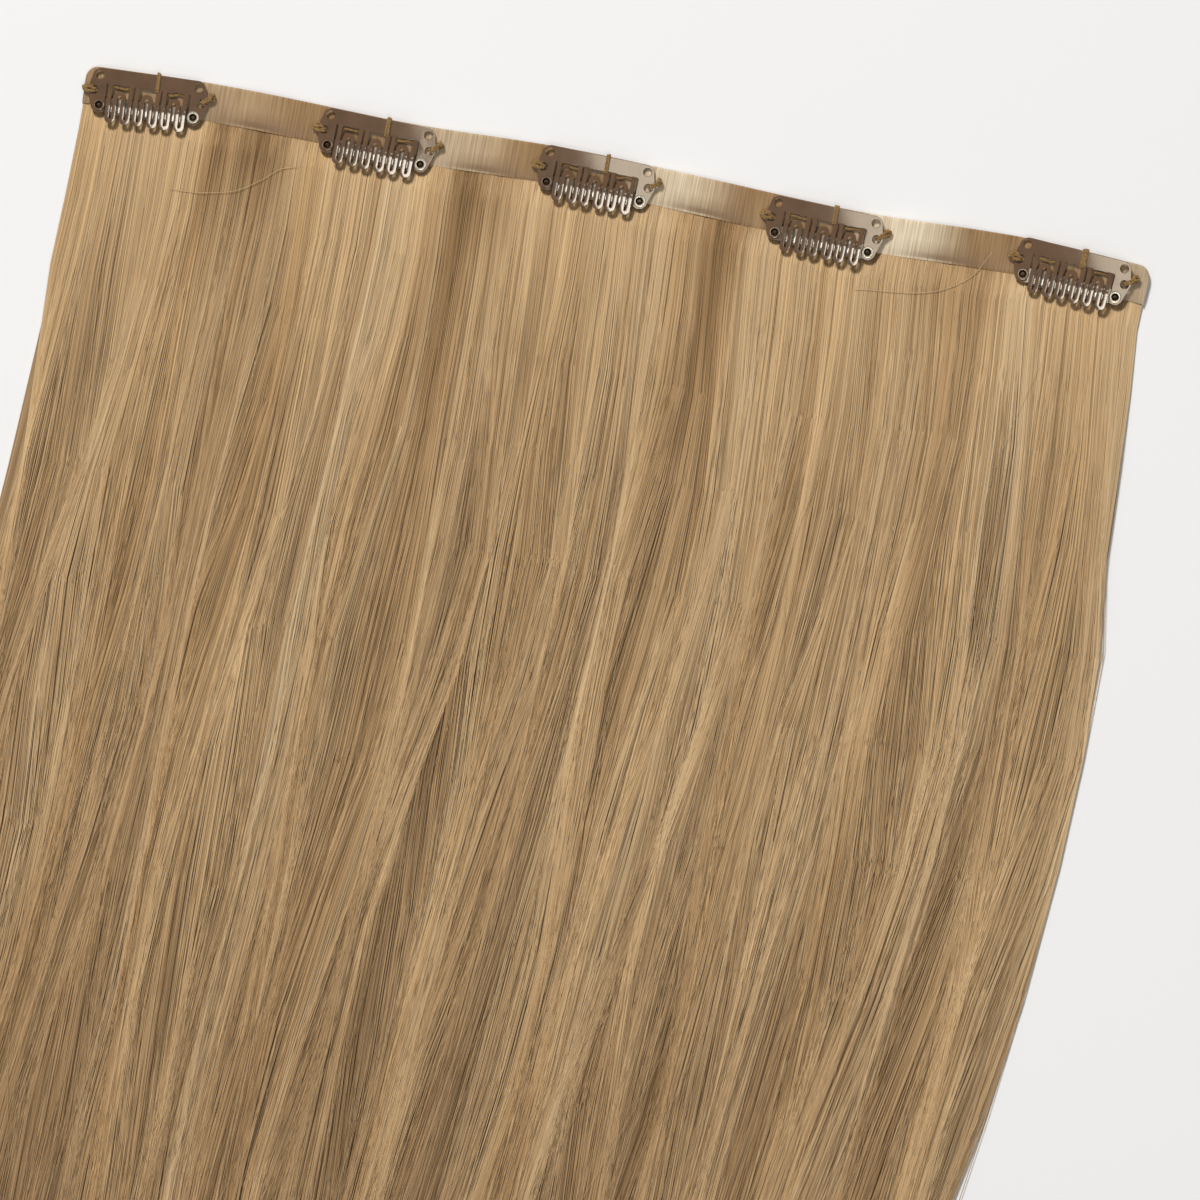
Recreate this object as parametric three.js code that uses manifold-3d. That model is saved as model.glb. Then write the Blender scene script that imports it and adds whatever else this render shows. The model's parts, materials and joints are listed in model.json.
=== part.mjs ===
import * as THREE from 'three';
import { mergeVertices } from 'three/addons/utils/BufferGeometryUtils.js';
import Module from 'manifold-3d';

// A clip-in hair extension, lying flat with its clips upwards. A folded band holds the hair roots
// along its lower edge and carries five snap clips. Millimetres, +Z up, +X along the band,
// +Y from the hair tips to the band's top edge. The origin is on the band's underside, mid-length.

const wasm = await Module();
wasm.setup();

// The folded band that holds the hair roots
const bandLength = 281;
const bandHeight = 9.4;
const bandWall = 0.45;
const bandSlot = 0.9;
const bandFold = 0.8;
const bandEdgeRound = 0.35;
const bandEndRadius = 3.2;
const bandLift = 1.1;
const bandEndSteps = 4;
const bandSpanSteps = 5;

// The hair that hangs from the band
const hairLength = 450;
const hairThickness = 7;
const hairEdgeThickness = 0.9;
const rootGap = 0.15;
const rootSideGap = 1.2;
const toeRun = 0.25;
const toeRise = 0.15;
const shoulderRun = 3.1;
const shoulderHeight = 2.5;
const valleyDepth = 0.42;
const tipGap = 7;
const swayTurns = 1.3;

// The snap clips
const clipWidth = 31.4;
const clipInset = 0.2;
const earWidth = 4.75;
const plateThickness = 0.5;
const barHeight = 4;
const earRise = 11.75;
const earTaper = 0.8;
const cornerRadius = 2.4;
const topHoleInset = 2.75;
const topHoleDrop = 1.9;
const sewingHoleDrop = 5.9;
const sewingHoleWall = 0.65;
const threadHoleRadius = 1.1;
const rivetInset = 1.4;
const rivetWall = 0.93;
const combGap = 0.3;
const fitGap = 0.1;

// The comb's wires, stamped from the bar
const toothReach = 14.1;
const crestDrop = 8.1;
const crestRise = 1.8;
const gripGap = 0.4;
const wireWidth = 0.95;
const wireThickness = 0.6;
const wireRoot = 0.5;
const toothWidth = 1.65;
const archWidth = 2.2;
const archDrop = 5.5;
const loopSpace = 0.6;
const turnSteps = 5;

// The grip strip behind the teeth, its soft sleeve, and the two eyelets
const stripHeight = 3.8;
const stripThickness = 0.4;
const sleeveWall = 0.3;
const sleeveEndGap = 0.5;
const eyeletBore = 0.85;
const eyeletWall = 0.22;
const eyeletFlange = 0.42;
const eyeletLip = 0.25;
const roundSides = 10;

// Where the ear's round side starts and ends about the sewing hole, and where its end starts about the rivet,
// in degrees.
const earBulge = { from: 12, to: -35, toRivet: -15 };

// Seats of the clips on the band. along and rise are shares of bandLength and bandHeight, turn is in
// degrees.
const clipSeats = [
  { along: 0.0594, rise: -0.1, turn: 2.8 },
  { along: 0.275, rise: -0.11, turn: -1.2 },
  { along: 0.4803, rise: 0.013, turn: -1.1 },
  { along: 0.6963, rise: -0.195, turn: -1.5 },
  { along: 0.9293, rise: -0.1, turn: -3.5 },
];

// How far the hair's two sides stand to the right of the band's ends. down is a share of hairLength,
// left and right are shares of bandLength.
const sideFlow = [
  { down: 0, left: 0, right: 0 },
  { down: 0.07, left: -0.004, right: 0.014 },
  { down: 0.21, left: -0.0142, right: 0.0235 },
  { down: 0.36, left: -0.0285, right: 0.0142 },
  { down: 0.54, left: -0.039, right: -0.0196 },
  { down: 0.78, left: -0.021, right: -0.078 },
  { down: 1, left: 0.03, right: -0.135 },
];

// How thick the hair lies down its length, as shares of hairLength and hairThickness.
const hairSwell = [
  { down: 0.04, height: 0.56 },
  { down: 0.08, height: 0.84 },
  { down: 0.14, height: 1 },
  { down: 0.23, height: 0.94 },
  { down: 0.34, height: 1 },
  { down: 0.46, height: 0.93 },
  { down: 0.58, height: 0.86 },
  { down: 0.7, height: 0.74 },
  { down: 0.8, height: 0.58 },
  { down: 0.89, height: 0.4 },
  { down: 0.96, height: 0.2 },
  { down: 1, height: 0 },
];

// The locks from left to right. width is set against the sum of its column, crown is a share of the hair's
// thickness there, tip is a share of hairLength, and sway is a share of bandLength.
const hairLocks = [
  { width: 0.9, crown: 0.72, tip: 0.95, sway: 0.006 },
  { width: 1.2, crown: 1, tip: 0.967, sway: 0.01 },
  { width: 0.8, crown: 0.84, tip: 0.972, sway: 0.004 },
  { width: 1.3, crown: 0.96, tip: 0.985, sway: -0.008 },
  { width: 0.9, crown: 0.8, tip: 0.984, sway: -0.012 },
  { width: 1.1, crown: 1, tip: 0.993, sway: 0.006 },
  { width: 0.75, crown: 0.82, tip: 0.989, sway: 0.012 },
  { width: 1.25, crown: 0.98, tip: 1, sway: 0.004 },
  { width: 0.85, crown: 0.86, tip: 0.994, sway: -0.01 },
  { width: 1.15, crown: 1, tip: 0.996, sway: -0.006 },
  { width: 0.8, crown: 0.83, tip: 0.986, sway: 0.008 },
  { width: 1.2, crown: 0.95, tip: 0.984, sway: 0.011 },
  { width: 0.9, crown: 0.85, tip: 0.969, sway: -0.004 },
  { width: 0.8, crown: 0.7, tip: 0.948, sway: -0.007 },
];

// The shape of one lock across its width: where each column stands in it, how high, and how much of the tip
// gap its end is cut short by.
const lockProfile = [
  { across: 0, dome: 0, trim: 1 },
  { across: 0.25, dome: 0.8, trim: 0.4 },
  { across: 0.52, dome: 1, trim: 0 },
  { across: 0.78, dome: 0.75, trim: 0.45 },
];

// The stack from the band up, the clip's places across it, and what follows from them
const bandThickness = 2 * bandWall + bandSlot;
const rootLow = bandWall + rootGap;
const rootHigh = bandWall + bandSlot - rootGap;
const sleeveBottom = bandThickness + fitGap;
const stripBottom = sleeveBottom + sleeveWall + fitGap;
const plateBottom = stripBottom + stripThickness + fitGap;
const sleeveTop = plateBottom + sleeveWall;
const plateMiddle = plateBottom + plateThickness / 2;
const eyeletRadius = eyeletBore + eyeletWall;
const rivetRadius = eyeletRadius + fitGap + rivetWall;
const sewingHoleInset = threadHoleRadius + sewingHoleWall;
const earInner = clipWidth / 2 - earWidth;
const combLength = 2 * (earInner - combGap);
const barTop = bandHeight / 2 - clipInset;
const rivetX = earInner + rivetInset;
const rivetDrop = earRise - rivetRadius;
const rivetY = barTop - rivetDrop;
const sleeveHalf = stripHeight / 2 + fitGap + sleeveWall;
const sleeveDrop = rivetDrop + sleeveHalf;
const loopWidth = 2 * toothWidth + archWidth;
const loopCount = Math.floor(combLength / (loopWidth + wireWidth + loopSpace));
const bandDrop = bandHeight - clipInset;
const hairToe = Math.max(sleeveDrop - bandDrop, 0) + toeRun;
const hairShoulder = hairToe + Math.max(toothReach - sleeveDrop, 0) + shoulderRun;

const finish = (color, roughness, metalness) => (
  new THREE.MeshStandardMaterial({ color, roughness, metalness })
);
const plateFinish = finish(0x6b4f40, 0.32, 0.2);
const sleeveFinish = finish(0x8a8088, 0.2, 0);
const eyeletFinish = finish(0xb9aa98, 0.25, 0.9);
const bandFinish = finish(0xc4a88a, 0.45, 0);
const hairFinish = finish(0xb3936a, 0.5, 0);

// A smooth line through points given by their place, value and slope.
function hermite(knots, x) {
  const last = knots.length - 2;
  const found = knots.findIndex((knot, i) => i > 0 && x <= knot.x);
  const i = found < 0 ? last : found - 1;
  const a = knots[i];
  const b = knots[i + 1];
  const span = b.x - a.x;
  const u = (x - a.x) / span;
  return (
    a.y * (1 - u) ** 2 * (1 + 2 * u) +
    b.y * u ** 2 * (3 - 2 * u) +
    span * (a.slope * u * (1 - u) ** 2 - b.slope * u ** 2 * (1 - u))
  );
}

// Knots for hermite from two columns of a table, with each slope taken from the neighbours.
function knotsOf(table, place, value) {
  return table.map((row, i) => {
    const before = table[Math.max(i - 1, 0)];
    const after = table[Math.min(i + 1, table.length - 1)];
    const slope = (after[value] - before[value]) / (after[place] - before[place]);
    return { x: row[place], y: row[value], slope };
  });
}

// The band's middle line passes through each seat at the seat's own turn, and runs straight past the end
// clips.
function bandKnots() {
  const seats = clipSeats.map((seat) => ({
    x: (seat.along - 0.5) * bandLength,
    y: seat.rise * bandHeight,
    slope: Math.tan(THREE.MathUtils.degToRad(seat.turn)),
  }));
  const ends = [seats[0], seats[seats.length - 1]].map((seat, i) => {
    const x = (i - 0.5) * bandLength;
    return { x, y: seat.y + seat.slope * (x - seat.x), slope: seat.slope };
  });
  return [ends[0], ...seats, ends[1]];
}

const middleLine = bandKnots();
const bandY = (x) => hermite(middleLine, x);

// Between two clips the band lifts off the surface in a low arch; under a clip it lies flat.
function liftAt(x) {
  for (let i = 2; i < middleLine.length - 1; i++) {
    const from = middleLine[i - 1].x + clipWidth / 2;
    const to = middleLine[i].x - clipWidth / 2;
    if (x > from && x < to) {
      return bandLift * Math.sin((Math.PI * (x - from)) / (to - from)) ** 2;
    }
  }
  return 0;
}

// The band's two top corners are rounded, so its upper edge comes down near the ends.
function bandTopAt(x) {
  const inside = bandLength / 2 - Math.abs(x);
  const short = Math.max(bandEndRadius - inside, 0);
  return bandHeight / 2 - bandEndRadius + Math.sqrt(Math.max(bandEndRadius ** 2 - short ** 2, 0));
}

// A point at a height across the band and a height over the surface, at a place along the band.
function bandPoint(x, across, z) {
  const slope = (bandY(x + 0.01) - bandY(x - 0.01)) / 0.02;
  const size = Math.hypot(1, slope);
  return new THREE.Vector3(x - (across * slope) / size, bandY(x) + across / size, z + liftAt(x));
}

// Closes an outline with triangles, each given in the outline's own order.
function outlineTriangles(outline) {
  const flat = outline.map((p) => new THREE.Vector2(p.x, p.y));
  return THREE.ShapeUtils.triangulateShape(flat, []).map((t) => [...t].sort((a, b) => a - b));
}

function bodyFrom(points, triangles) {
  const geometry = new THREE.BufferGeometry();
  geometry.setAttribute('position', new THREE.Float32BufferAttribute(points.flatMap((p) => p.toArray()), 3));
  geometry.setIndex(triangles.flat());
  geometry.computeVertexNormals();
  return geometry;
}

// A closed body through rings of equally many points. The outline is the ring's flat shape, for the caps.
function loft(rings, outline) {
  const size = rings[0].length;
  const triangles = [];
  for (let r = 0; r < rings.length - 1; r++) {
    for (let i = 0; i < size; i++) {
      const a = r * size + i;
      const b = r * size + ((i + 1) % size);
      triangles.push([a, b, b + size], [a, b + size, a + size]);
    }
  }
  const lastRing = (rings.length - 1) * size;
  for (const [a, b, c] of outlineTriangles(outline)) {
    triangles.push([c, b, a], [lastRing + a, lastRing + b, lastRing + c]);
  }
  return bodyFrom(rings.flat(), triangles);
}

// Points on an arc, from one angle to another in degrees.
function arc(x, y, radius, from, to, steps) {
  return Array.from({ length: steps + 1 }, (_, i) => {
    const angle = THREE.MathUtils.degToRad(from + ((to - from) * i) / steps);
    return new THREE.Vector2(x + radius * Math.cos(angle), y + radius * Math.sin(angle));
  });
}

function roundHole(x, y, radius) {
  return new THREE.Path(arc(x, y, radius, 0, -360, roundSides).slice(0, -1));
}

function extrude(shape, depth, bottom) {
  return new THREE.ExtrudeGeometry(shape, { depth, bevelEnabled: false }).translate(0, 0, bottom);
}

// Places along the band: close together round its ends, and evenly over and between the clips.
function bandStations() {
  const ends = Array.from({ length: bandEndSteps }, (_, i) => {
    const angle = (Math.PI / 2) * (i / bandEndSteps);
    return bandLength / 2 - bandEndRadius * (1 - Math.sin(angle));
  });
  const flats = middleLine.slice(1, -1).flatMap((seat, i, seats) => {
    const from = seat.x + clipWidth / 2;
    const to = i < seats.length - 1 ? seats[i + 1].x - clipWidth / 2 : from;
    const step = (to - from) / (bandSpanSteps + 1);
    const span = Array.from({ length: bandSpanSteps }, (_, k) => from + step * (k + 1));
    return [seat.x - clipWidth / 2, seat.x, from, ...(to > from ? span : [])];
  });
  const straight = bandLength / 2 - bandEndRadius * (1 + 1 / bandEndSteps);
  const between = flats.filter((x) => Math.abs(x) < straight);
  return [...ends.map((x) => -x), ...between, ...ends].sort((a, b) => a - b);
}

// The band's section is a fold: a back wall, the fold along its top edge and a front wall.
function bandSection(top) {
  const low = -bandHeight / 2;
  const front = bandThickness - bandWall;
  return [
    [low, 0], [top - bandEdgeRound, 0], [top, bandEdgeRound], [top, bandThickness - bandEdgeRound],
    [top - bandEdgeRound, bandThickness], [low, bandThickness], [low, front], [top - bandFold, front],
    [top - bandFold, bandWall], [low, bandWall],
  ].map(([across, z]) => new THREE.Vector2(across, z));
}

function bandBody() {
  const rings = bandStations().map((x) => bandSection(bandTopAt(x)).map((p) => bandPoint(x, p.x, p.y)));
  return loft(rings, bandSection(bandTopAt(bandLength / 2)));
}

// Columns of the hair from left to right: each lock has a valley, two shoulders and a crest, with the length
// that the hair has there.
function hairColumns() {
  const whole = hairLocks.reduce((sum, lock) => sum + lock.width, 0);
  const columns = [];
  let from = 0;
  hairLocks.forEach((lock, i) => {
    const before = hairLocks[Math.max(i - 1, 0)];
    for (const { across, dome, trim } of lockProfile) {
      const crown = dome === 0 ? (lock.crown + before.crown) / 2 : lock.crown;
      const tip = dome === 0 ? Math.min(lock.tip, before.tip) : lock.tip;
      const sway = dome === 0 ? (lock.sway + before.sway) / 2 : lock.sway;
      const length = tip * hairLength - trim * tipGap;
      columns.push({ across: (from + across * lock.width) / whole, dome, crown, length, sway });
    }
    from += lock.width;
  });
  const last = hairLocks[hairLocks.length - 1];
  const length = last.tip * hairLength - tipGap;
  columns.push({ across: 1, dome: 0, crown: last.crown, length, sway: last.sway });
  return columns;
}

// Where a column of hair lies, a length below the band's lower edge.
function hairPlace(column, down) {
  const share = down / hairLength;
  const x = (column.across - 0.5) * (bandLength - 2 * rootSideGap);
  const root = bandPoint(x, -bandHeight / 2, 0);
  const sides = ['left', 'right'].map((side) => hermite(knotsOf(sideFlow, 'down', side), share));
  const drift = THREE.MathUtils.lerp(sides[0], sides[1], column.across);
  const wave = column.sway * Math.sin(2 * Math.PI * swayTurns * share) * share;
  return new THREE.Vector2(root.x + (drift + wave) * bandLength, root.y - down);
}

// The hair is one body: a root strip inside the band, and below it a curtain whose top is raised in locks
// and whose end runs out in their tips.
function hairBody() {
  const columns = hairColumns();
  const points = [];
  const triangles = [];
  const add = (x, y, z) => points.push(new THREE.Vector3(x, y, z)) - 1;
  const quad = (a, b, c, d) => triangles.push([a, b, c], [a, c, d]);
  const strip = (upper, lower) => {
    for (let i = 0; i < upper.length - 1; i++) quad(upper[i], lower[i], lower[i + 1], upper[i + 1]);
  };
  const rootX = (column) => (column.across - 0.5) * (bandLength - 2 * rootSideGap);
  const rootRow = (z, inside) => columns.map((column) => {
    const x = rootX(column);
    const top = bandTopAt(x) - bandFold - rootGap;
    return add(...bandPoint(x, inside ? top : -bandHeight / 2, z));
  });
  const ridge = (column) => 1 - valleyDepth * (1 - column.dome);

  const innerTop = rootRow(rootHigh, true);
  const innerLow = rootRow(rootLow, true);
  const rows = [rootRow(rootHigh, false)];
  const bottoms = [rootRow(rootLow, false)];
  const swell = hairThickness - hairEdgeThickness;
  const stages = [
    { down: () => hairToe, height: () => rootHigh + toeRise },
    { down: () => hairShoulder, height: () => shoulderHeight },
    ...hairSwell.map(({ down, height }) => ({
      down: (column) => down * column.length,
      height: (column) => hairEdgeThickness + swell * height * column.crown * ridge(column),
    })),
  ];
  const end = columns.length - 1;
  stages.forEach((stage, j) => {
    const whole = j === 0 || j === stages.length - 1;
    const places = columns.map((column) => hairPlace(column, stage.down(column)));
    rows.push(places.map((place, i) => add(place.x, place.y, stage.height(columns[i]))));
    bottoms.push(places.map((place, i) => (whole || i === 0 || i === end ? add(place.x, place.y, 0) : null)));
  });

  strip(innerTop, rows[0]);
  for (let j = 0; j < rows.length - 1; j++) strip(rows[j], rows[j + 1]);
  strip(bottoms[1], bottoms[0]);
  strip(bottoms[0], innerLow);
  strip(innerLow, innerTop);
  const side = (i) => [[innerTop[i], innerLow[i]], ...rows.map((row, j) => [row[i], bottoms[j][i]])];
  const left = side(0);
  const right = side(end);
  for (let j = 0; j < left.length - 1; j++) {
    quad(left[j][0], left[j][1], left[j + 1][1], left[j + 1][0]);
    quad(right[j][0], right[j + 1][0], right[j + 1][1], right[j][1]);
  }
  strip(rows[rows.length - 1], bottoms[bottoms.length - 1]);

  const rim = [
    ...bottoms[1],
    ...bottoms.slice(2, -1).map((row) => row[end]),
    ...[...bottoms[bottoms.length - 1]].reverse(),
    ...bottoms.slice(2, -1).map((row) => row[0]).reverse(),
  ];
  for (const [a, b, c] of outlineTriangles(rim.map((i) => points[i]))) {
    triangles.push([rim[a], rim[b], rim[c]]);
  }
  return bodyFrom(points, triangles);
}

// One ear of the clip's plate: the top hole, the hole it is sewn through, and the eyelet's hole.
function earBody(side) {
  const cornerX = clipWidth / 2 - earTaper - cornerRadius;
  const sewingX = clipWidth / 2 - sewingHoleInset;
  const sewingY = barTop - sewingHoleDrop;
  const innerTurn = THREE.MathUtils.radToDeg(Math.acos(Math.min(rivetInset / rivetRadius, 1))) - 180;
  const outline = [
    new THREE.Vector2(earInner, barTop),
    ...arc(cornerX, barTop - cornerRadius, cornerRadius, 90, 0, 3),
    ...arc(sewingX, sewingY, sewingHoleInset, earBulge.from, earBulge.to, 3),
    ...arc(rivetX, rivetY, rivetRadius, earBulge.toRivet, innerTurn, 5),
  ];
  const mirrored = outline.map((p) => new THREE.Vector2(side * p.x, p.y));
  const shape = new THREE.Shape(side > 0 ? mirrored.reverse() : mirrored);
  shape.holes.push(
    roundHole(side * (clipWidth / 2 - topHoleInset), barTop - topHoleDrop, threadHoleRadius),
    roundHole(side * sewingX, sewingY, threadHoleRadius),
    roundHole(side * rivetX, rivetY, eyeletRadius + fitGap),
  );
  return extrude(shape, plateThickness, plateBottom);
}

// How high a wire of the comb runs: up from the bar to a crest, then down past the sleeve's far edge.
function wireZ(y) {
  const drop = barTop - y;
  const rise = crestRise / (crestDrop - barHeight);
  if (drop < crestDrop) return plateMiddle + rise * Math.max(drop - barHeight, 0);
  const crest = plateMiddle + crestRise;
  const grip = sleeveTop + gripGap + wireThickness / 2;
  return crest + ((grip - crest) * (drop - crestDrop)) / (sleeveDrop - crestDrop);
}

// A path whose stations are kept just where they are given.
class StationPath extends THREE.Curve {
  constructor(stations) {
    super();
    this.stations = stations;
  }

  getPoint(t) {
    const last = this.stations.length - 1;
    const at = Math.min(Math.max(t, 0), 1) * last;
    const i = Math.min(Math.floor(at), last - 1);
    return this.stations[i].clone().lerp(this.stations[i + 1], at - i);
  }

  getPointAt(u) {
    return this.getPoint(u);
  }

  getTangentAt(u) {
    return this.getTangent(u);
  }
}

// One wire loop of the comb: down, round the first tip, over the arch, round the second tip and up again.
function wireLoop(x) {
  const crest = barTop - crestDrop;
  const turn = toothWidth / 2;
  const tip = barTop - toothReach + wireWidth / 2 + turn;
  const inner = archWidth / 2;
  const arch = barTop - archDrop - wireWidth / 2 - inner;
  const tooth = loopWidth / 2 - turn;
  const plan = [
    new THREE.Vector2(-loopWidth / 2, barTop - barHeight + wireRoot),
    new THREE.Vector2(-loopWidth / 2, barTop - barHeight),
    new THREE.Vector2(-loopWidth / 2, crest),
    ...arc(-tooth, tip, turn, 180, 360, turnSteps),
    new THREE.Vector2(-inner, crest),
    ...arc(0, arch, inner, 180, 0, turnSteps),
    new THREE.Vector2(inner, crest),
    ...arc(tooth, tip, turn, 180, 360, turnSteps),
    new THREE.Vector2(loopWidth / 2, crest),
    new THREE.Vector2(loopWidth / 2, barTop - barHeight),
    new THREE.Vector2(loopWidth / 2, barTop - barHeight + wireRoot),
  ];
  const path = new StationPath(plan.map((p) => new THREE.Vector3(x + p.x, p.y, wireZ(p.y))));
  const section = new THREE.Shape([
    new THREE.Vector2(-wireWidth / 2, -wireThickness / 2),
    new THREE.Vector2(wireWidth / 2, -wireThickness / 2),
    new THREE.Vector2(wireWidth / 2, wireThickness / 2),
    new THREE.Vector2(-wireWidth / 2, wireThickness / 2),
  ]);
  return new THREE.ExtrudeGeometry(section, { steps: plan.length - 1, extrudePath: path });
}

function toManifold(geometry) {
  const bare = new THREE.BufferGeometry();
  bare.setAttribute('position', geometry.getAttribute('position').clone());
  bare.setIndex(geometry.index && geometry.index.clone());
  const merged = mergeVertices(bare, 1e-4);
  return new wasm.Manifold(new wasm.Mesh({
    numProp: 3,
    vertProperties: new Float32Array(merged.getAttribute('position').array),
    triVerts: new Uint32Array(merged.index.array),
  }));
}

function fromManifold(solid) {
  const { vertProperties, triVerts } = solid.getMesh();
  const geometry = new THREE.BufferGeometry();
  geometry.setAttribute('position', new THREE.BufferAttribute(new Float32Array(vertProperties), 3));
  geometry.setIndex(new THREE.BufferAttribute(new Uint32Array(triVerts), 1));
  geometry.computeVertexNormals();
  return geometry;
}

// The bar and its wire loops are one stamping.
function combBody() {
  const bar = new THREE.BoxGeometry(combLength, barHeight, plateThickness);
  bar.translate(0, barTop - barHeight / 2, plateMiddle);
  let solid = toManifold(bar);
  for (let i = 0; i < loopCount; i++) {
    const x = ((i + 0.5) / loopCount - 0.5) * combLength;
    solid = solid.add(toManifold(wireLoop(x)));
  }
  return fromManifold(solid);
}

// The flat spring strip behind the teeth, held by the eyelets at its two ends.
function stripBody() {
  const half = stripHeight / 2;
  const outline = [...arc(rivetX, rivetY, half, -90, 90, 5), ...arc(-rivetX, rivetY, half, 90, 270, 5)];
  const shape = new THREE.Shape(outline);
  shape.holes.push(
    roundHole(rivetX, rivetY, eyeletRadius + fitGap),
    roundHole(-rivetX, rivetY, eyeletRadius + fitGap),
  );
  return extrude(shape, stripThickness, stripBottom);
}

// The soft sleeve drawn over the strip between the eyelets.
function sleeveBody() {
  const depth = 2 * (rivetX - eyeletRadius - eyeletFlange - sleeveEndGap);
  const middle = (sleeveBottom + sleeveTop) / 2;
  const high = (sleeveTop - sleeveBottom) / 2;
  const corners = [[1, -1], [1, 1], [-1, 1], [-1, -1]].map(([x, y]) => (
    new THREE.Vector2(x * (sleeveHalf - sleeveWall), y * (high - sleeveWall))
  ));
  const shape = new THREE.Shape(
    corners.flatMap((p, i) => arc(p.x, p.y, sleeveWall, 90 * (i - 1), 90 * i, 1)),
  );
  shape.holes.push(new THREE.Path([...corners].reverse()));
  const geometry = extrude(shape, depth, -depth / 2);
  return geometry.rotateX(Math.PI / 2).rotateZ(Math.PI / 2).translate(0, rivetY, middle);
}

// A rolled eyelet through the ear and the strip, with a lip below and a wider one above.
function eyeletBody() {
  const low = stripBottom - fitGap - eyeletLip;
  const high = plateBottom + plateThickness + fitGap + eyeletLip;
  const lip = eyeletRadius + eyeletFlange;
  const profile = [
    [eyeletBore, low], [lip, low], [lip, low + eyeletLip], [eyeletRadius, low + eyeletLip],
    [eyeletRadius, high - eyeletLip], [lip, high - eyeletLip], [lip, high], [eyeletBore, high],
    [eyeletBore, low],
  ].map(([radius, z]) => new THREE.Vector2(radius, z));
  return new THREE.LatheGeometry(profile, roundSides).rotateX(Math.PI / 2);
}

function meshOf(name, geometry, material) {
  const mesh = new THREE.Mesh(geometry, material);
  mesh.name = name;
  return mesh;
}

function buildClip(number, shapes) {
  const seat = clipSeats[number - 1];
  const clip = new THREE.Group();
  const prefix = `clip_${number}`;
  clip.add(meshOf(`${prefix}_comb`, shapes.comb, plateFinish));
  clip.add(meshOf(`${prefix}_ear_left`, shapes.earLeft, plateFinish));
  clip.add(meshOf(`${prefix}_ear_right`, shapes.earRight, plateFinish));
  clip.add(meshOf(`${prefix}_strip`, shapes.strip, plateFinish));
  clip.add(meshOf(`${prefix}_sleeve`, shapes.sleeve, sleeveFinish));
  ['left', 'right'].forEach((side, i) => {
    const eyelet = meshOf(`${prefix}_eyelet_${side}`, shapes.eyelet, eyeletFinish);
    eyelet.position.set((2 * i - 1) * rivetX, rivetY, 0);
    clip.add(eyelet);
  });
  const x = (seat.along - 0.5) * bandLength;
  clip.position.set(x, bandY(x), 0);
  clip.rotation.z = THREE.MathUtils.degToRad(seat.turn);
  return clip;
}

const extension = new THREE.Group();
extension.add(meshOf('weft_band', bandBody(), bandFinish));
extension.add(meshOf('hair_curtain', hairBody(), hairFinish));
const clipShapes = {
  comb: combBody(),
  earLeft: earBody(-1),
  earRight: earBody(1),
  strip: stripBody(),
  sleeve: sleeveBody(),
  eyelet: eyeletBody(),
};
clipSeats.forEach((_, i) => extension.add(buildClip(i + 1, clipShapes)));

export default extension;
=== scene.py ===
import json
import math

import bmesh
import bpy
import numpy as np
from mathutils import Matrix, Vector
from mathutils.bvhtree import BVHTree


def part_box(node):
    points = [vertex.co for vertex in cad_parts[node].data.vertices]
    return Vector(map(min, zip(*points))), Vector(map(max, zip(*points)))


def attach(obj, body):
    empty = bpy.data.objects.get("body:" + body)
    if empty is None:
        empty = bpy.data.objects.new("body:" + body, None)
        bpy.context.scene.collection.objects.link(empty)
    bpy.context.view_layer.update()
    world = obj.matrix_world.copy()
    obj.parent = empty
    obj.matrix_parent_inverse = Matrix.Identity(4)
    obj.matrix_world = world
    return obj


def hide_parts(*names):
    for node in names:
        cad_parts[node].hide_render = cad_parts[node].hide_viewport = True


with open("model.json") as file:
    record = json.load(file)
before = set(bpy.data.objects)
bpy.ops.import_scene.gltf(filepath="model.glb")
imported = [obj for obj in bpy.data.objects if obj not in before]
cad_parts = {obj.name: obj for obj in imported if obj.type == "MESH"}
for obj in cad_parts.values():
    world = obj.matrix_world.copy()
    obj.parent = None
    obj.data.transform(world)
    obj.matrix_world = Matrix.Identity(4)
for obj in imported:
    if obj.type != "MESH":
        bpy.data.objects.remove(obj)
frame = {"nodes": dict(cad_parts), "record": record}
print("frame loaded")

mm = 0.001
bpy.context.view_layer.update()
turning = frame["record"]["behaviour"]["joints"]

# what follows is in metres in the frame's own axes: the band along X, the hair down -Y, the clips up +Z


def linear(red, green, blue):
    # a colour given as on a screen, turned into what the shader wants
    channels = (((c / 255 + 0.055) / 1.055) ** 2.4 if c > 10 else c / 3294 for c in (red, green, blue))
    return (*channels, 1.0)


def softStep(low, high, value):
    share = np.clip((value - low) / (high - low), 0, 1)
    return share * share * (3 - 2 * share)


# camera and light

view = {
    "middle": (15.909 * mm, -108.906 * mm),  # what lies in the middle of the picture
    "width": 311.86 * mm,
    "turn": math.radians(10.705),  # the band falls to the right in the picture
    "distance": 3.0,
}


def makeCamera():
    data = bpy.data.cameras.new("camera")
    data.sensor_fit = "HORIZONTAL"
    data.sensor_width = 36
    data.sensor_height = 36
    data.lens = 36 * view["distance"] / view["width"]
    data.clip_end = 50
    camera = bpy.data.objects.new("camera", data)
    camera.location = (*view["middle"], view["distance"])
    camera.rotation_euler = (0, 0, view["turn"])
    bpy.context.scene.collection.objects.link(camera)
    bpy.context.scene.camera = camera


def pictureSpot(right, up, height):
    # a place given by how far right and up it lies in the picture
    turn = Matrix.Rotation(view["turn"], 4, "Z")
    return Vector((*view["middle"], 0)) + turn @ Vector((right, up, height))


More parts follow.
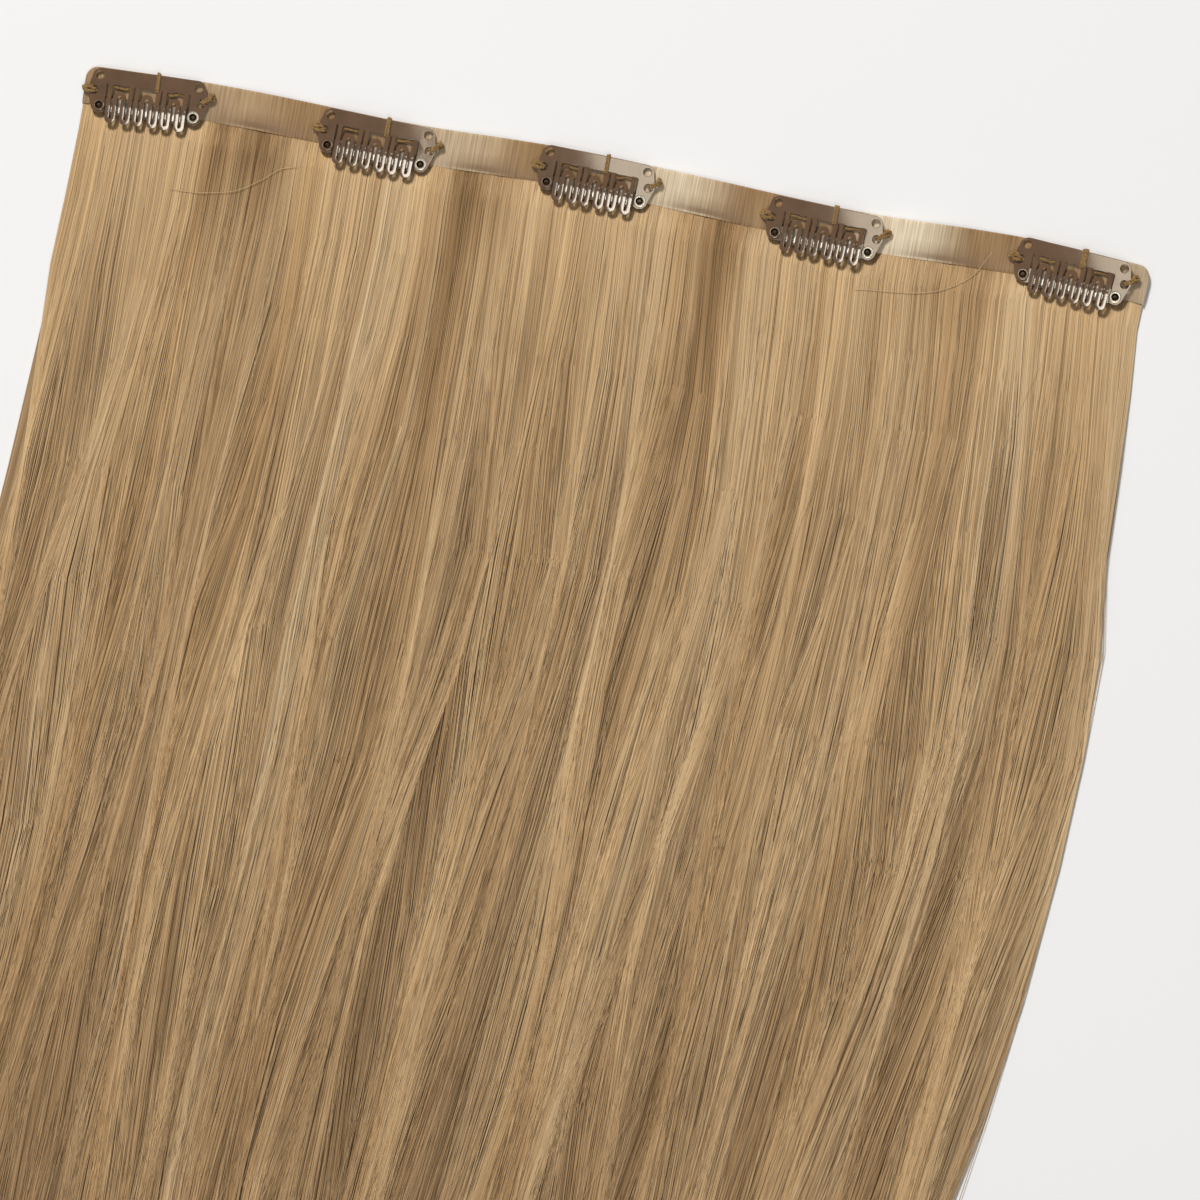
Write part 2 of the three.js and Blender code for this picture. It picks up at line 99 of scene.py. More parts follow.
studio = {
    "floor": 6.0,
    "world": 0.17,
    # the key lights the weft but isn't mirrored in it
    "key": {"spot": (-1.2, 2.95, 3.5), "size": (0.84, 0.84), "power": 194, "tone": (1, 1, 1),
            "glossy": False},
    # two level lamps that the band, the plates and the teeth mirror
    "sideGlow": {"spot": (0.38, 0.22, 3.3), "size": (0.5, 0.5), "power": 3.2, "tone": (1, 0.9, 0.7),
                 "level": True},
    "lowGlow": {"spot": (0.25, -0.95, 3.3), "size": (0.92, 0.6), "power": 15, "tone": (1, 0.93, 0.8),
                "level": True},
    "fill": {"spot": (-1.3, -0.8, 1.6), "size": (1.2, 1.2), "power": 3, "tone": (1, 1, 1)},
}


def makeLamp(name, settings):
    data = bpy.data.lights.new(name, "AREA")
    data.shape = "RECTANGLE"
    data.size, data.size_y = settings["size"]
    data.energy = settings["power"]
    data.color = settings["tone"]
    lamp = bpy.data.objects.new(name, data)
    lamp.location = pictureSpot(*settings["spot"])
    lamp.rotation_euler = (0, 0, view["turn"])
    if not settings.get("level"):
        aim = pictureSpot(0, 0, 0) - lamp.location
        lamp.rotation_euler = aim.to_track_quat("-Z", "Y").to_euler()
    lamp.visible_camera = False
    lamp.visible_glossy = settings.get("glossy", True)
    bpy.context.scene.collection.objects.link(lamp)


def makeStudio():
    bpy.context.scene.view_settings.view_transform = "Standard"
    world = bpy.data.worlds.new("studio")
    world.use_nodes = True
    background = world.node_tree.nodes["Background"]
    background.inputs["Color"].default_value = linear(250, 251, 252)
    background.inputs["Strength"].default_value = studio["world"]
    bpy.context.scene.world = world
    for name in ("key", "sideGlow", "lowGlow", "fill"):
        makeLamp(name, studio[name])
    bm = bmesh.new()
    bmesh.ops.create_grid(bm, x_segments=1, y_segments=1, size=studio["floor"] / 2)
    floor = finishPiece("floor", bm, [paleFloor()])


# materials

def newMaterial(name, colour, **sockets):
    material = bpy.data.materials.new(name)
    material.use_nodes = True
    shader = material.node_tree.nodes["Principled BSDF"]
    shader.inputs["Base Color"].default_value = colour
    for socket, value in sockets.items():
        shader.inputs[socket.replace("_", " ")].default_value = value
    return material, material.node_tree, shader


def addNode(tree, kind, **values):
    node = tree.nodes.new(kind)
    for key, value in values.items():
        if key in node.inputs:
            node.inputs[key].default_value = value
        else:
            setattr(node, key, value)
    return node


def objectNoise(tree, scale, detail, stretch=(1, 1, 1)):
    place = addNode(tree, "ShaderNodeTexCoord")
    mapping = addNode(tree, "ShaderNodeMapping", Scale=stretch)
    noise = addNode(tree, "ShaderNodeTexNoise", Scale=scale, Detail=detail)
    tree.links.new(place.outputs["Object"], mapping.inputs["Vector"])
    tree.links.new(mapping.outputs["Vector"], noise.inputs["Vector"])
    return noise.outputs["Fac"]


def colourRamp(tree, source, stops):
    ramp = addNode(tree, "ShaderNodeValToRGB")
    elements = ramp.color_ramp.elements
    while len(elements) < len(stops):
        elements.new(0.5)
    for element, (place, colour) in zip(elements, stops):
        element.position = place
        element.color = colour
    tree.links.new(source, ramp.inputs["Fac"])
    return ramp.outputs["Color"]


def mixColours(tree, factor, first, second, blend="MIX"):
    mix = addNode(tree, "ShaderNodeMix", data_type="RGBA", blend_type=blend)
    for value, socket in ((factor, mix.inputs[0]), (first, mix.inputs[6]), (second, mix.inputs[7])):
        if isinstance(value, bpy.types.NodeSocket):
            tree.links.new(value, socket)
        else:
            socket.default_value = value
    return mix.outputs[2]


def addBump(tree, shader, height, depth, strength=1.0):
    bump = addNode(tree, "ShaderNodeBump", Strength=strength, Distance=depth)
    tree.links.new(height, bump.inputs["Height"])
    tree.links.new(bump.outputs["Normal"], shader.inputs["Normal"])


def roughnessFrom(tree, shader, source, low, high):
    span = addNode(tree, "ShaderNodeMapRange")
    span.inputs["To Min"].default_value = low
    span.inputs["To Max"].default_value = high
    tree.links.new(source, span.inputs["Value"])
    tree.links.new(span.outputs["Result"], shader.inputs["Roughness"])


def paleFloor():
    material, tree, shader = newMaterial("pale_paper", linear(243, 243, 244), Roughness=0.9)
    cloud = objectNoise(tree, 3, 2)
    shade = colourRamp(tree, cloud, [(0.3, linear(242, 242, 243)), (0.7, linear(244, 244, 245))])
    tree.links.new(shade, shader.inputs["Base Color"])
    return material


def brownEnamel():
    material, tree, shader = newMaterial("brown_enamel", linear(100, 73, 51))
    shader.inputs["Specular IOR Level"].default_value = 0.2
    shader.inputs["Coat Weight"].default_value = 1.0
    shader.inputs["Coat Roughness"].default_value = 0.08
    shader.inputs["Coat IOR"].default_value = 1.85
    cloud = objectNoise(tree, 260, 4)
    shade = colourRamp(tree, cloud, [(0.3, linear(95, 69, 47)), (0.7, linear(107, 79, 55))])
    tree.links.new(shade, shader.inputs["Base Color"])
    roughnessFrom(tree, shader, cloud, 0.26, 0.4)
    addBump(tree, shader, objectNoise(tree, 3200, 2), 0.01 * mm, 0.4)
    return material


def paintedGlareRing():
    # painted reflection: a pale metal finish that stands in for the glare on the right eyelets; the noise
    # mottles its paleness and roughness at random
    material, tree, shader = newMaterial("bright_ring", linear(226, 217, 198), Metallic=0.7)
    glareMottle = objectNoise(tree, 900, 3)
    shade = colourRamp(tree, glareMottle, [(0.3, linear(190, 176, 156)), (0.55, linear(238, 231, 214))])
    tree.links.new(shade, shader.inputs["Base Color"])
    roughnessFrom(tree, shader, glareMottle, 0.16, 0.3)
    return material


def clearSleeve():
    material, tree, shader = newMaterial("clear_sleeve", linear(142, 127, 110))
    shader.inputs["Coat Weight"].default_value = 1.0
    shader.inputs["Coat Roughness"].default_value = 0.07
    shader.inputs["Coat IOR"].default_value = 2.0
    cloud = objectNoise(tree, 500, 2)
    shade = colourRamp(tree, cloud, [(0.3, linear(126, 111, 96)), (0.7, linear(158, 142, 124))])
    tree.links.new(shade, shader.inputs["Base Color"])
    roughnessFrom(tree, shader, cloud, 0.2, 0.3)
    return material


def rootBandFilm():
    material, tree, shader = newMaterial("root_band_film", linear(170, 138, 102), Roughness=0.42)
    shader.inputs["Coat Weight"].default_value = 0.1
    shader.inputs["Coat Roughness"].default_value = 0.3
    wide = objectNoise(tree, 1, 2, (75, 20, 20))
    base = colourRamp(tree, wide, [(0.3, linear(147, 115, 79)), (0.7, linear(179, 146, 103))])
    hairs = objectNoise(tree, 1, 3, (2300, 55, 55))
    lines = colourRamp(tree, hairs, [(0.32, linear(208, 198, 184)), (0.62, linear(255, 255, 255))])
    # painted glare: the pale attribute mixes the film's colour towards a pale cream
    pale = addNode(tree, "ShaderNodeAttribute", attribute_name="pale")
    base = mixColours(tree, pale.outputs["Fac"], base, linear(238, 222, 194))
    base = mixColours(tree, 1.0, base, lines, "MULTIPLY")
    # painted shade: this attribute darkens the film towards a dark brown above its open edge
    shadow = addNode(tree, "ShaderNodeAttribute", attribute_name="hem")
    shade = mixColours(tree, shadow.outputs["Fac"], base, linear(120, 91, 63))
    tree.links.new(shade, shader.inputs["Base Color"])
    addBump(tree, shader, hairs, 0.04 * mm, 0.5)
    return material


def strandHair():
    material, tree, shader = newMaterial("strand_hair", linear(176, 147, 108), Roughness=0.38)
    shader.inputs["Specular IOR Level"].default_value = 0.4
    shader.inputs["Specular Tint"].default_value = linear(255, 240, 216)
    uv = addNode(tree, "ShaderNodeUVMap", uv_map="strand")
    parts = addNode(tree, "ShaderNodeSeparateXYZ")
    tree.links.new(uv.outputs["UV"], parts.inputs["Vector"])
    shade = colourRamp(tree, parts.outputs["X"], hairTones)
    tint = colourRamp(tree, parts.outputs["Y"], [
        (0.0, linear(232, 236, 244)), (0.5, linear(255, 252, 248)), (1.0, linear(255, 240, 216)),
    ])
    shade = mixColours(tree, 1.0, shade, tint, "MULTIPLY")
    tree.links.new(shade, shader.inputs["Base Color"])
    return material


# from the darkest strands to the lightest
hairTones = [
    (0.0, linear(95, 72, 49)), (0.25, linear(140, 113, 81)), (0.5, linear(179, 150, 113)),
    (0.75, linear(207, 180, 141)), (1.0, linear(230, 208, 171)),
]


def underHair():
    material, tree, shader = newMaterial("under_hair", linear(136, 108, 74), Roughness=0.55)
    uv = addNode(tree, "ShaderNodeUVMap", uv_map="strand")
    mapping = addNode(tree, "ShaderNodeMapping", Scale=(1100, 7, 1))
    noise = addNode(tree, "ShaderNodeTexNoise", Scale=1, Detail=3)
    tree.links.new(uv.outputs["UV"], mapping.inputs["Vector"])
    tree.links.new(mapping.outputs["Vector"], noise.inputs["Vector"])
    shade = colourRamp(tree, noise.outputs["Fac"], [(0.3, linear(126, 98, 67)), (0.7, linear(184, 153, 112))])
    tree.links.new(shade, shader.inputs["Base Color"])
    addBump(tree, shader, noise.outputs["Fac"], 0.2 * mm, 0.8)
    return material


def paintedShadeBore():
    # painted shade: the bore is coloured near black for the shade inside it
    material, tree, shader = newMaterial("dark_bore", linear(44, 33, 27), Roughness=0.6)
    cloud = objectNoise(tree, 900, 2)
    shade = colourRamp(tree, cloud, [(0.3, linear(36, 27, 22)), (0.7, linear(54, 41, 33))])
    tree.links.new(shade, shader.inputs["Base Color"])
    return material


def goldenThread():
    material, tree, shader = newMaterial("golden_thread", linear(132, 98, 52), Roughness=0.7)
    fibre = objectNoise(tree, 2600, 3)
    shade = colourRamp(tree, fibre, [(0.3, linear(104, 77, 42)), (0.7, linear(174, 138, 86))])
    tree.links.new(shade, shader.inputs["Base Color"])
    shader.inputs["Sheen Weight"].default_value = 0.2
    return material


# mesh helpers

def finishPiece(name, bm, materials, smooth=None, flatFaces=False):
    mesh = bpy.data.meshes.new(name)
    bm.to_mesh(mesh)
    bm.free()
    for material in materials:
        mesh.materials.append(material)
    if smooth is not None:
        mesh.shade_smooth()
        mesh.set_sharp_from_angle(angle=math.radians(smooth))
    piece = bpy.data.objects.new(name, mesh)
    bpy.context.scene.collection.objects.link(piece)
    if flatFaces:
        keepFlat(piece)
    return piece


def keepFlat(piece):
    # broad faces stay flat beside their soft edges; the modifier drops the weights of faces this small in
    # metres, so the mesh is in millimetres while it works
    small = piece.data
    small.transform(Matrix.Scale(1 / mm, 4))
    weighted = piece.modifiers.new("flat faces", "WEIGHTED_NORMAL")
    weighted.keep_sharp = True
    piece.data = bpy.data.meshes.new_from_object(piece.evaluated_get(bpy.context.evaluated_depsgraph_get()))
    piece.modifiers.remove(weighted)
    bpy.data.meshes.remove(small)
    piece.data.transform(Matrix.Scale(mm, 4))


def lineCurve(name, points, closed):
    curve = bpy.data.curves.new(name, "CURVE")
    curve.dimensions = "3D"
    spline = curve.splines.new("POLY")
    spline.points.add(len(points) - 1)
    for target, point in zip(spline.points, points):
        target.co = (*point, 1)
    spline.use_cyclic_u = closed
    holder = bpy.data.objects.new(name, curve)
    bpy.context.scene.collection.objects.link(holder)
    return holder


def addWire(bm, points, radius, sides=8, section=None):
    # a wire along points, swept by a curve: round, or with a section drawn across and up
    wire = lineCurve("wire", points, False)
    wire.data.use_fill_caps = True
    wire.data.twist_mode = "Z_UP"
    shape = None
    if section is None:
        wire.data.bevel_depth = radius
        wire.data.bevel_resolution = sides // 2 - 2
    else:
        shape = lineCurve("section", [(x * radius, y * radius, 0) for x, y in section], True)
        wire.data.bevel_mode = "OBJECT"
        wire.data.bevel_object = shape
    mesh = bpy.data.meshes.new_from_object(wire.evaluated_get(bpy.context.evaluated_depsgraph_get()))
    swept = bmesh.new()
    swept.from_mesh(mesh)
    bpy.data.meshes.remove(mesh)
    bmesh.ops.remove_doubles(swept, verts=swept.verts[:], dist=0.0001 * mm)
    bmesh.ops.recalc_face_normals(swept, faces=swept.faces[:])
    joinInto(bm, swept)
    for holder in (wire, shape):
        if holder:
            curve = holder.data
            bpy.data.objects.remove(holder)
            bpy.data.curves.remove(curve)


def flatSection(flat, corner):
    # a rounded bar, one to each side and flat up and down, in shares of the wire's half width
    points = []
    for x, y, start in ((1 - corner, flat - corner, 0), (corner - 1, flat - corner, 90),
                        (corner - 1, corner - flat, 180), (1 - corner, corner - flat, 270)):
        points += arcPoints(x, y, corner, start, start + 90, 2)
    return points


def arcPoints(x, y, radius, start, end, steps):
    angles = [math.radians(start + (end - start) * i / steps) for i in range(steps + 1)]
    return [(x + radius * math.cos(a), y + radius * math.sin(a)) for a in angles]


def addPlate(bm, outline, holes, low, high, edge, seam):
    # a flat plate with holes: the outlines are filled, raised to the thickness and given soft edges,
    # all but those on the seam, where the next plate goes on
    plate = bmesh.new()
    for loop in (outline, *holes):
        corners = [plate.verts.new((x, y, low)) for x, y in loop]
        for i, corner in enumerate(corners):
            plate.edges.new((corner, corners[(i + 1) % len(corners)]))
    bmesh.ops.triangle_fill(plate, use_beauty=True, use_dissolve=True, edges=plate.edges[:])
    raised = bmesh.ops.extrude_face_region(plate, geom=plate.faces[:], use_keep_orig=True)
    moved = [g for g in raised["geom"] if isinstance(g, bmesh.types.BMVert)]
    bmesh.ops.translate(plate, verts=moved, vec=(0, 0, high - low))
    bmesh.ops.recalc_face_normals(plate, faces=plate.faces[:])
    rims = [e for e in plate.edges if e.calc_face_angle(0) > 1.0 and not seam(e.verts[0].co, e.verts[1].co)]
    bmesh.ops.bevel(plate, geom=rims, offset=edge, affect="EDGES", segments=2, profile=0.5, material=-1)
    joinInto(bm, plate)


def cutAcross(bm, place):
    # one cut square to the clip's length, so that the piece can bend there
    everything = bm.verts[:] + bm.edges[:] + bm.faces[:]
    bmesh.ops.bisect_plane(bm, geom=everything, plane_co=(place, 0, 0), plane_no=(1, 0, 0))


def joinInto(bm, other):
    mesh = bpy.data.meshes.new("joined")
    other.to_mesh(mesh)
    other.free()
    bm.from_mesh(mesh)
    bpy.data.meshes.remove(mesh)


# the clips

clip = {
    "hingeInset": 0.25 * mm,  # from the bar's top edge to the hinge line
    "width": 31.4 * mm,
    "plate": 0.5 * mm,
    "barHalf": 10.93 * mm,
    "barHeight": 4.0 * mm,
    "camber": 0.22 * mm,  # the bar is a little higher in its middle
    # sideways slopes, chosen so that each plate and its teeth mirror the glow as in the photograph
    "rolls": [0.0, -0.0142, -0.024, 0.0097, 0.0304],  # of each plate
    "leans": [0.0243, 0.0038, -0.0248, -0.0263, -0.0132],  # of the teeth against their bar
    "edge": 0.12 * mm,
    "earInner": 10.95 * mm,
    "earTaper": 0.8 * mm,
    "corner": 2.4 * mm,
    "holeRadius": 1.1 * mm,
    "topHole": (2.75 * mm, 1.9 * mm),
    "sewingHole": (1.75 * mm, 5.9 * mm),
    "rivetInset": 1.4 * mm,
    "rivetDrop": 9.65 * mm,
    "rivetRadius": 2.1 * mm,
    "eyeletHole": 1.17 * mm,
}

comb = {
    "loops": 3,
    "cell": 7.1 * mm,
    "legs": 2.75 * mm,
    "arch": 1.1 * mm,
    "archDrop": 5.5 * mm,
    "tooth": 1.65 * mm,
    "reach": 14.1 * mm,
    "root": 3.7 * mm,
    "crestDrop": 8.1 * mm,
    "crestRise": 1.8 * mm,
    "tipRise": 0.75 * mm,
    "wire": 0.57 * mm,
    "section": {"flat": 0.43, "corner": 0.2},
    "flare": {"more": 0.75, "run": 0.4 * mm},  # a tooth is wider where it leaves the bar
    "step": 0.4 * mm,
    "soften": 3200,
}


def clipPlaces():
    # each clip's place and turn, from the hinge that it opens on; y runs down from the bar's top edge
    places = []
    for joint, roll, lean in zip(turning, clip["rolls"], clip["leans"]):
        turn = math.atan2(-joint["axis"][1], -joint["axis"][0])
        x, y, z = joint["pos_m"]
        node = frame["record"]["behaviour"]["bodies"][joint["child"]][0]
        place = Matrix.Translation((x, y, 0)) @ Matrix.Rotation(turn, 4, "Z")
        place = place @ Matrix.Translation((0, clip["hingeInset"], 0))
        places.append({"place": place, "turn": turn, "roll": roll, "lean": lean, "body": joint["child"],
                       "comb": node, "prefix": node[: -len("_comb")]})
    return places


def camberAt(seat, x):
    # a low arch along the bar; the ears go on straight from its ends
    end = clip["earInner"]
    share = min(abs(x), end) / end
    beyond = max(abs(x) - end, 0) / end
    return clip["camber"] * (0.5 - 0.5 * share ** 2 - beyond) + seat["roll"] * x


def leanAt(seat, x, y):
    # the teeth lean sideways, from nothing at the bar to all of it at their crest
    share = softStep(clip["barHeight"], comb["crestDrop"], -y)
    return -seat["lean"] * x * float(share)


def bendPlate(seat, bm):
    for vert in bm.verts:
        vert.co.z += camberAt(seat, vert.co.x)


def wireRise(drop):
    # up from the bar to a soft crest, then down over the sleeve to the tip
    rise = comb["crestRise"] / (comb["crestDrop"] - clip["barHeight"])
    fall = (comb["crestRise"] - comb["tipRise"]) / (comb["reach"] - comb["crestDrop"])
    up = rise * (drop - clip["barHeight"])
    down = comb["crestRise"] - fall * (drop - comb["crestDrop"])
    sharp = comb["soften"]
    lower = -math.log(math.exp(-sharp * up) + math.exp(-sharp * down)) / sharp
    return max(lower, 0)


def loopPlan(middle):
    legs, tooth, arch = comb["legs"], comb["tooth"] / 2, comb["arch"]
    tip = -comb["reach"] + comb["wire"] + tooth
    top = -comb["archDrop"] - comb["wire"] - arch
    corners = [(-legs, -comb["root"]), (-legs, tip)]
    corners += arcPoints(tooth - legs, tip, tooth, 180, 360, 10)[1:]
    corners += [(-arch, top)] + arcPoints(0, top, arch, 180, 0, 12)[1:]
    corners += [(arch, tip)] + arcPoints(legs - tooth, tip, tooth, 180, 360, 10)[1:]
    corners += [(legs, -comb["root"])]
    plan = [corners[0]]
    for (x0, y0), (x1, y1) in zip(corners, corners[1:]):
        parts = max(1, round(math.hypot(x1 - x0, y1 - y0) / comb["step"]))
        plan += [(x0 + (x1 - x0) * k / parts, y0 + (y1 - y0) * k / parts) for k in range(1, parts + 1)]
    return [(middle + x, y) for x, y in plan]


def makeComb(seat, low, enamel):
    bm = bmesh.new()
    base = low + clip["plate"] / 2
    half, height = clip["barHalf"], clip["barHeight"]
    bmesh.ops.create_cube(bm, size=1)
    bmesh.ops.scale(bm, verts=bm.verts[:], vec=(2 * half, height, clip["plate"]))
    bmesh.ops.translate(bm, verts=bm.verts[:], vec=(0, -height / 2, base))
    long = [e for e in bm.edges if abs(e.verts[0].co.x - e.verts[1].co.x) > half]
    bmesh.ops.bevel(bm, geom=long, offset=clip["edge"], affect="EDGES", segments=2, profile=0.5, material=-1)
    for cut in range(-9, 10):
        cutAcross(bm, cut * half / 10)
    for i in range(comb["loops"]):
        middle = (i - (comb["loops"] - 1) / 2) * comb["cell"]
        path = [(x, y, base) for x, y in loopPlan(middle)]
        addWire(bm, path, comb["wire"], section=flatSection(**comb["section"]))
        for leg in (middle - comb["legs"], middle + comb["legs"]):
            for vert in bm.verts:
                beyond = -vert.co.y - clip["barHeight"] + 0.3 * mm
                if abs(vert.co.x - leg) < 1.1 * comb["wire"] and 0 <= beyond < 3 * mm:
                    fade = math.exp(-beyond / comb["flare"]["run"])
                    vert.co.x += (vert.co.x - leg) * comb["flare"]["more"] * fade
    for vert in bm.verts:
        vert.co.z += wireRise(-vert.co.y) + leanAt(seat, vert.co.x, vert.co.y)
    bendPlate(seat, bm)
    bmesh.ops.transform(bm, matrix=seat["place"], verts=bm.verts[:])
    piece = finishPiece(seat["prefix"] + "_comb_fine", bm, [enamel], 40, True)
    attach(piece, seat["body"])
    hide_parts(seat["comb"])


def earOutline(side):
    half = clip["width"] / 2
    corner, shoulder = clip["corner"], half - clip["earTaper"]
    inset, drop = clip["sewingHole"]
    rivet = clip["earInner"] + clip["rivetInset"]
    inner = math.degrees(math.acos(clip["rivetInset"] / clip["rivetRadius"])) - 180
    points = [(clip["earInner"], -clip["barHeight"]), (clip["earInner"], 0.0)]
    points += arcPoints(shoulder - corner, -corner, corner, 90, 0, 10)
    points += arcPoints(half - inset, -drop, inset, 12, -35, 8)
    points += arcPoints(rivet, -clip["rivetDrop"], clip["rivetRadius"], -15, inner, 14)
    return [(side * x, y) for x, y in points]


def onSeam(a, b):
    # the ear's inner edge beside the bar, where the two make one plate
    inner = all(abs(abs(p.x) - clip["earInner"]) < 0.01 * mm for p in (a, b))
    return inner and min(a.y, b.y) > -clip["barHeight"] - 0.01 * mm


def earHoles(side):
    half = clip["width"] / 2
    places = [
        (half - clip["topHole"][0], clip["topHole"][1], clip["holeRadius"]),
        (half - clip["sewingHole"][0], clip["sewingHole"][1], clip["holeRadius"]),
        (clip["earInner"] + clip["rivetInset"], clip["rivetDrop"], clip["eyeletHole"]),
    ]
    return [arcPoints(side * x, -drop, radius, 0, 360, 24)[:-1] for x, drop, radius in places]


def makeEar(seat, side, low, enamel):
    bm = bmesh.new()
    addPlate(bm, earOutline(side), earHoles(side), low, low + clip["plate"], clip["edge"], onSeam)
    bendPlate(seat, bm)
    bmesh.ops.transform(bm, matrix=seat["place"], verts=bm.verts[:])
    name = seat["prefix"] + ("_ear_right" if side > 0 else "_ear_left")
    piece = finishPiece(name + "_fine", bm, [enamel], 40, True)
    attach(piece, "weft")
    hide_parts(name)


eyelet = {
    "bore": 0.92 * mm,
    "exit": 0.5 * mm,
    "barrel": 1.1 * mm,
    "lip": 1.62 * mm,
    "roll": 0.17 * mm,
    "steps": 28,
}


def makeEyelet(seat, side, low, high, finishes):
    # the rolled profile is spun round the eyelet's axis
    bm = bmesh.new()
    bore, barrel, lip, roll = eyelet["bore"], eyelet["barrel"], eyelet["lip"], eyelet["roll"]
    profile = [(eyelet["exit"], low + roll)] + arcPoints(bore + roll, low + roll, roll, 225, 270, 2)[1:]
    profile += arcPoints(lip - roll, low + roll, roll, -90, 90, 5)
    profile += [(barrel, low + 2 * roll), (barrel, high - 2 * roll)]
    profile += arcPoints(lip - roll, high - roll, roll, -90, 90, 5)
    profile += arcPoints(bore + roll, high - roll, roll, 90, 180, 4)
    ring = [bm.verts.new((x, 0, z)) for x, z in profile]
    edges = [bm.edges.new((a, ring[(i + 1) % len(ring)])) for i, a in enumerate(ring)]
    bmesh.ops.spin(bm, geom=ring + edges, cent=(0, 0, 0), axis=(0, 0, 1), angle=math.tau,
                   steps=eyelet["steps"], use_merge=True)
    bmesh.ops.remove_doubles(bm, verts=bm.verts[:], dist=0.001 * mm)
    bmesh.ops.recalc_face_normals(bm, faces=bm.faces[:])
    # the bore's inner wall takes the second finish, its near-black painted shade
    for face in bm.faces:
        middle = face.calc_center_median()
        if middle.xy.length < bore + 0.5 * roll and middle.z < high - 0.2 * roll:
            face.material_index = 1
    x = side * (clip["earInner"] + clip["rivetInset"])
    spot = (x, -clip["rivetDrop"], camberAt(seat, x))
    bmesh.ops.transform(bm, matrix=seat["place"] @ Matrix.Translation(spot), verts=bm.verts[:])
    name = seat["prefix"] + ("_eyelet_right" if side > 0 else "_eyelet_left")
    piece = finishPiece(name + "_fine", bm, finishes, 50)
    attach(piece, "weft")
    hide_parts(name)


sleeve = {
    "half": 2.3 * mm,
    "length": 20.6 * mm,
    "wall": 0.3 * mm,
    "rise": 0.25 * mm,
    "round": 0.7 * mm,
    "swell": 0.13 * mm,  # the soft tube stands up between the wires that press on it
    "press": 0.5 * mm,
    "fall": 0.15,  # its top slopes down to the tips as the teeth do
    "cuts": 44,
}


def swellAt(x):
    middles = [(i - (comb["loops"] - 1) / 2) * comb["cell"] for i in range(comb["loops"])]
    outs = [side * out for side in (-1, 1) for out in (comb["arch"], comb["legs"])]
    wires = [middle + out for middle in middles for out in outs]
    return sleeve["swell"] * (1 - max(math.exp(-((x - wire) / sleeve["press"]) ** 2) for wire in wires))


def makeSleeve(seat, low, high, finish):
    bm = bmesh.new()
    high += sleeve["rise"]
    length, tall = sleeve["length"], high - low
    bmesh.ops.create_cube(bm, size=1)
    bmesh.ops.scale(bm, verts=bm.verts[:], vec=(length, 2 * sleeve["half"], tall))
    for sign, offset in ((1, sleeve["round"]), (-1, sleeve["round"] / 2)):
        long = [e for e in bm.edges if abs(e.verts[0].co.x - e.verts[1].co.x) > length / 2
                and e.verts[0].co.z * sign > tall * 0.45]
        bmesh.ops.bevel(bm, geom=long, offset=offset, affect="EDGES", segments=5, profile=0.5, material=-1)
    for cut in range(1, sleeve["cuts"]):
        cutAcross(bm, (cut / sleeve["cuts"] - 0.5) * length)
    for vert in bm.verts:
        crown = max(0, vert.co.z / tall * 2)
        slope = sleeve["fall"] * vert.co.y + camberAt(seat, vert.co.x) - seat["lean"] * vert.co.x
        vert.co.z += (swellAt(vert.co.x) + slope) * crown
    ends = [f for f in bm.faces if abs(f.normal.x) > 0.98
            and abs(abs(f.calc_center_median().x) - length / 2) < 0.01 * mm]
    bmesh.ops.delete(bm, geom=ends, context="FACES_ONLY")
    bmesh.ops.recalc_face_normals(bm, faces=bm.faces[:])
    bmesh.ops.solidify(bm, geom=bm.faces[:], thickness=sleeve["wall"])
    bmesh.ops.recalc_face_normals(bm, faces=bm.faces[:])
    bmesh.ops.translate(bm, verts=bm.verts[:], vec=(0, -clip["rivetDrop"], (low + high) / 2))
    bmesh.ops.transform(bm, matrix=seat["place"], verts=bm.verts[:])
    piece = finishPiece(seat["prefix"] + "_sleeve_fine", bm, [finish], 50)
    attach(piece, "weft")
    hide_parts(seat["prefix"] + "_sleeve")


def makeClips(seats):
    enamel, ring, clear, bore = brownEnamel(), paintedGlareRing(), clearSleeve(), paintedShadeBore()
    for seat in seats:
        prefix = seat["prefix"]
        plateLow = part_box(prefix + "_ear_left")[0].z
        makeComb(seat, plateLow, enamel)
        # the right eyelets take the pale finish, a painted reflection; the left ones take the enamel
        for side, finish in ((-1, enamel), (1, ring)):
            makeEar(seat, side, plateLow, enamel)
            name = prefix + ("_eyelet_right" if side > 0 else "_eyelet_left")
            low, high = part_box(name)
            makeEyelet(seat, side, low.z, high.z, [finish, bore])
        low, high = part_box(prefix + "_sleeve")
        makeSleeve(seat, low.z, high.z, clear)
        strip = frame["nodes"][prefix + "_strip"]
        for slot in strip.material_slots:
            slot.material = enamel
    print("clips made:", len(seats))


# the sewing thread

thread = {"ply": 0.21 * mm, "twist": 1.15 * mm, "step": 0.2 * mm, "sides": 6}


def smoothPath(corners, step):
    # a smooth line through a few corners, in even short steps
    points = [Vector(c) for c in corners]
    path = []
    for i in range(len(points) - 1):
        a, b = points[i], points[i + 1]
        before = points[i - 1] if i else a - (b - a)
        after = points[i + 2] if i + 2 < len(points) else b + (b - a)
        parts = max(2, round((b - a).length / step))
        for k in range(parts):
            u = k / parts
            path.append(0.5 * ((2 * a) + (b - before) * u + (2 * before - 5 * a + 4 * b - after) * u ** 2
                               + (3 * a - before - 3 * b + after) * u ** 3))
    path.append(points[-1])
    return path


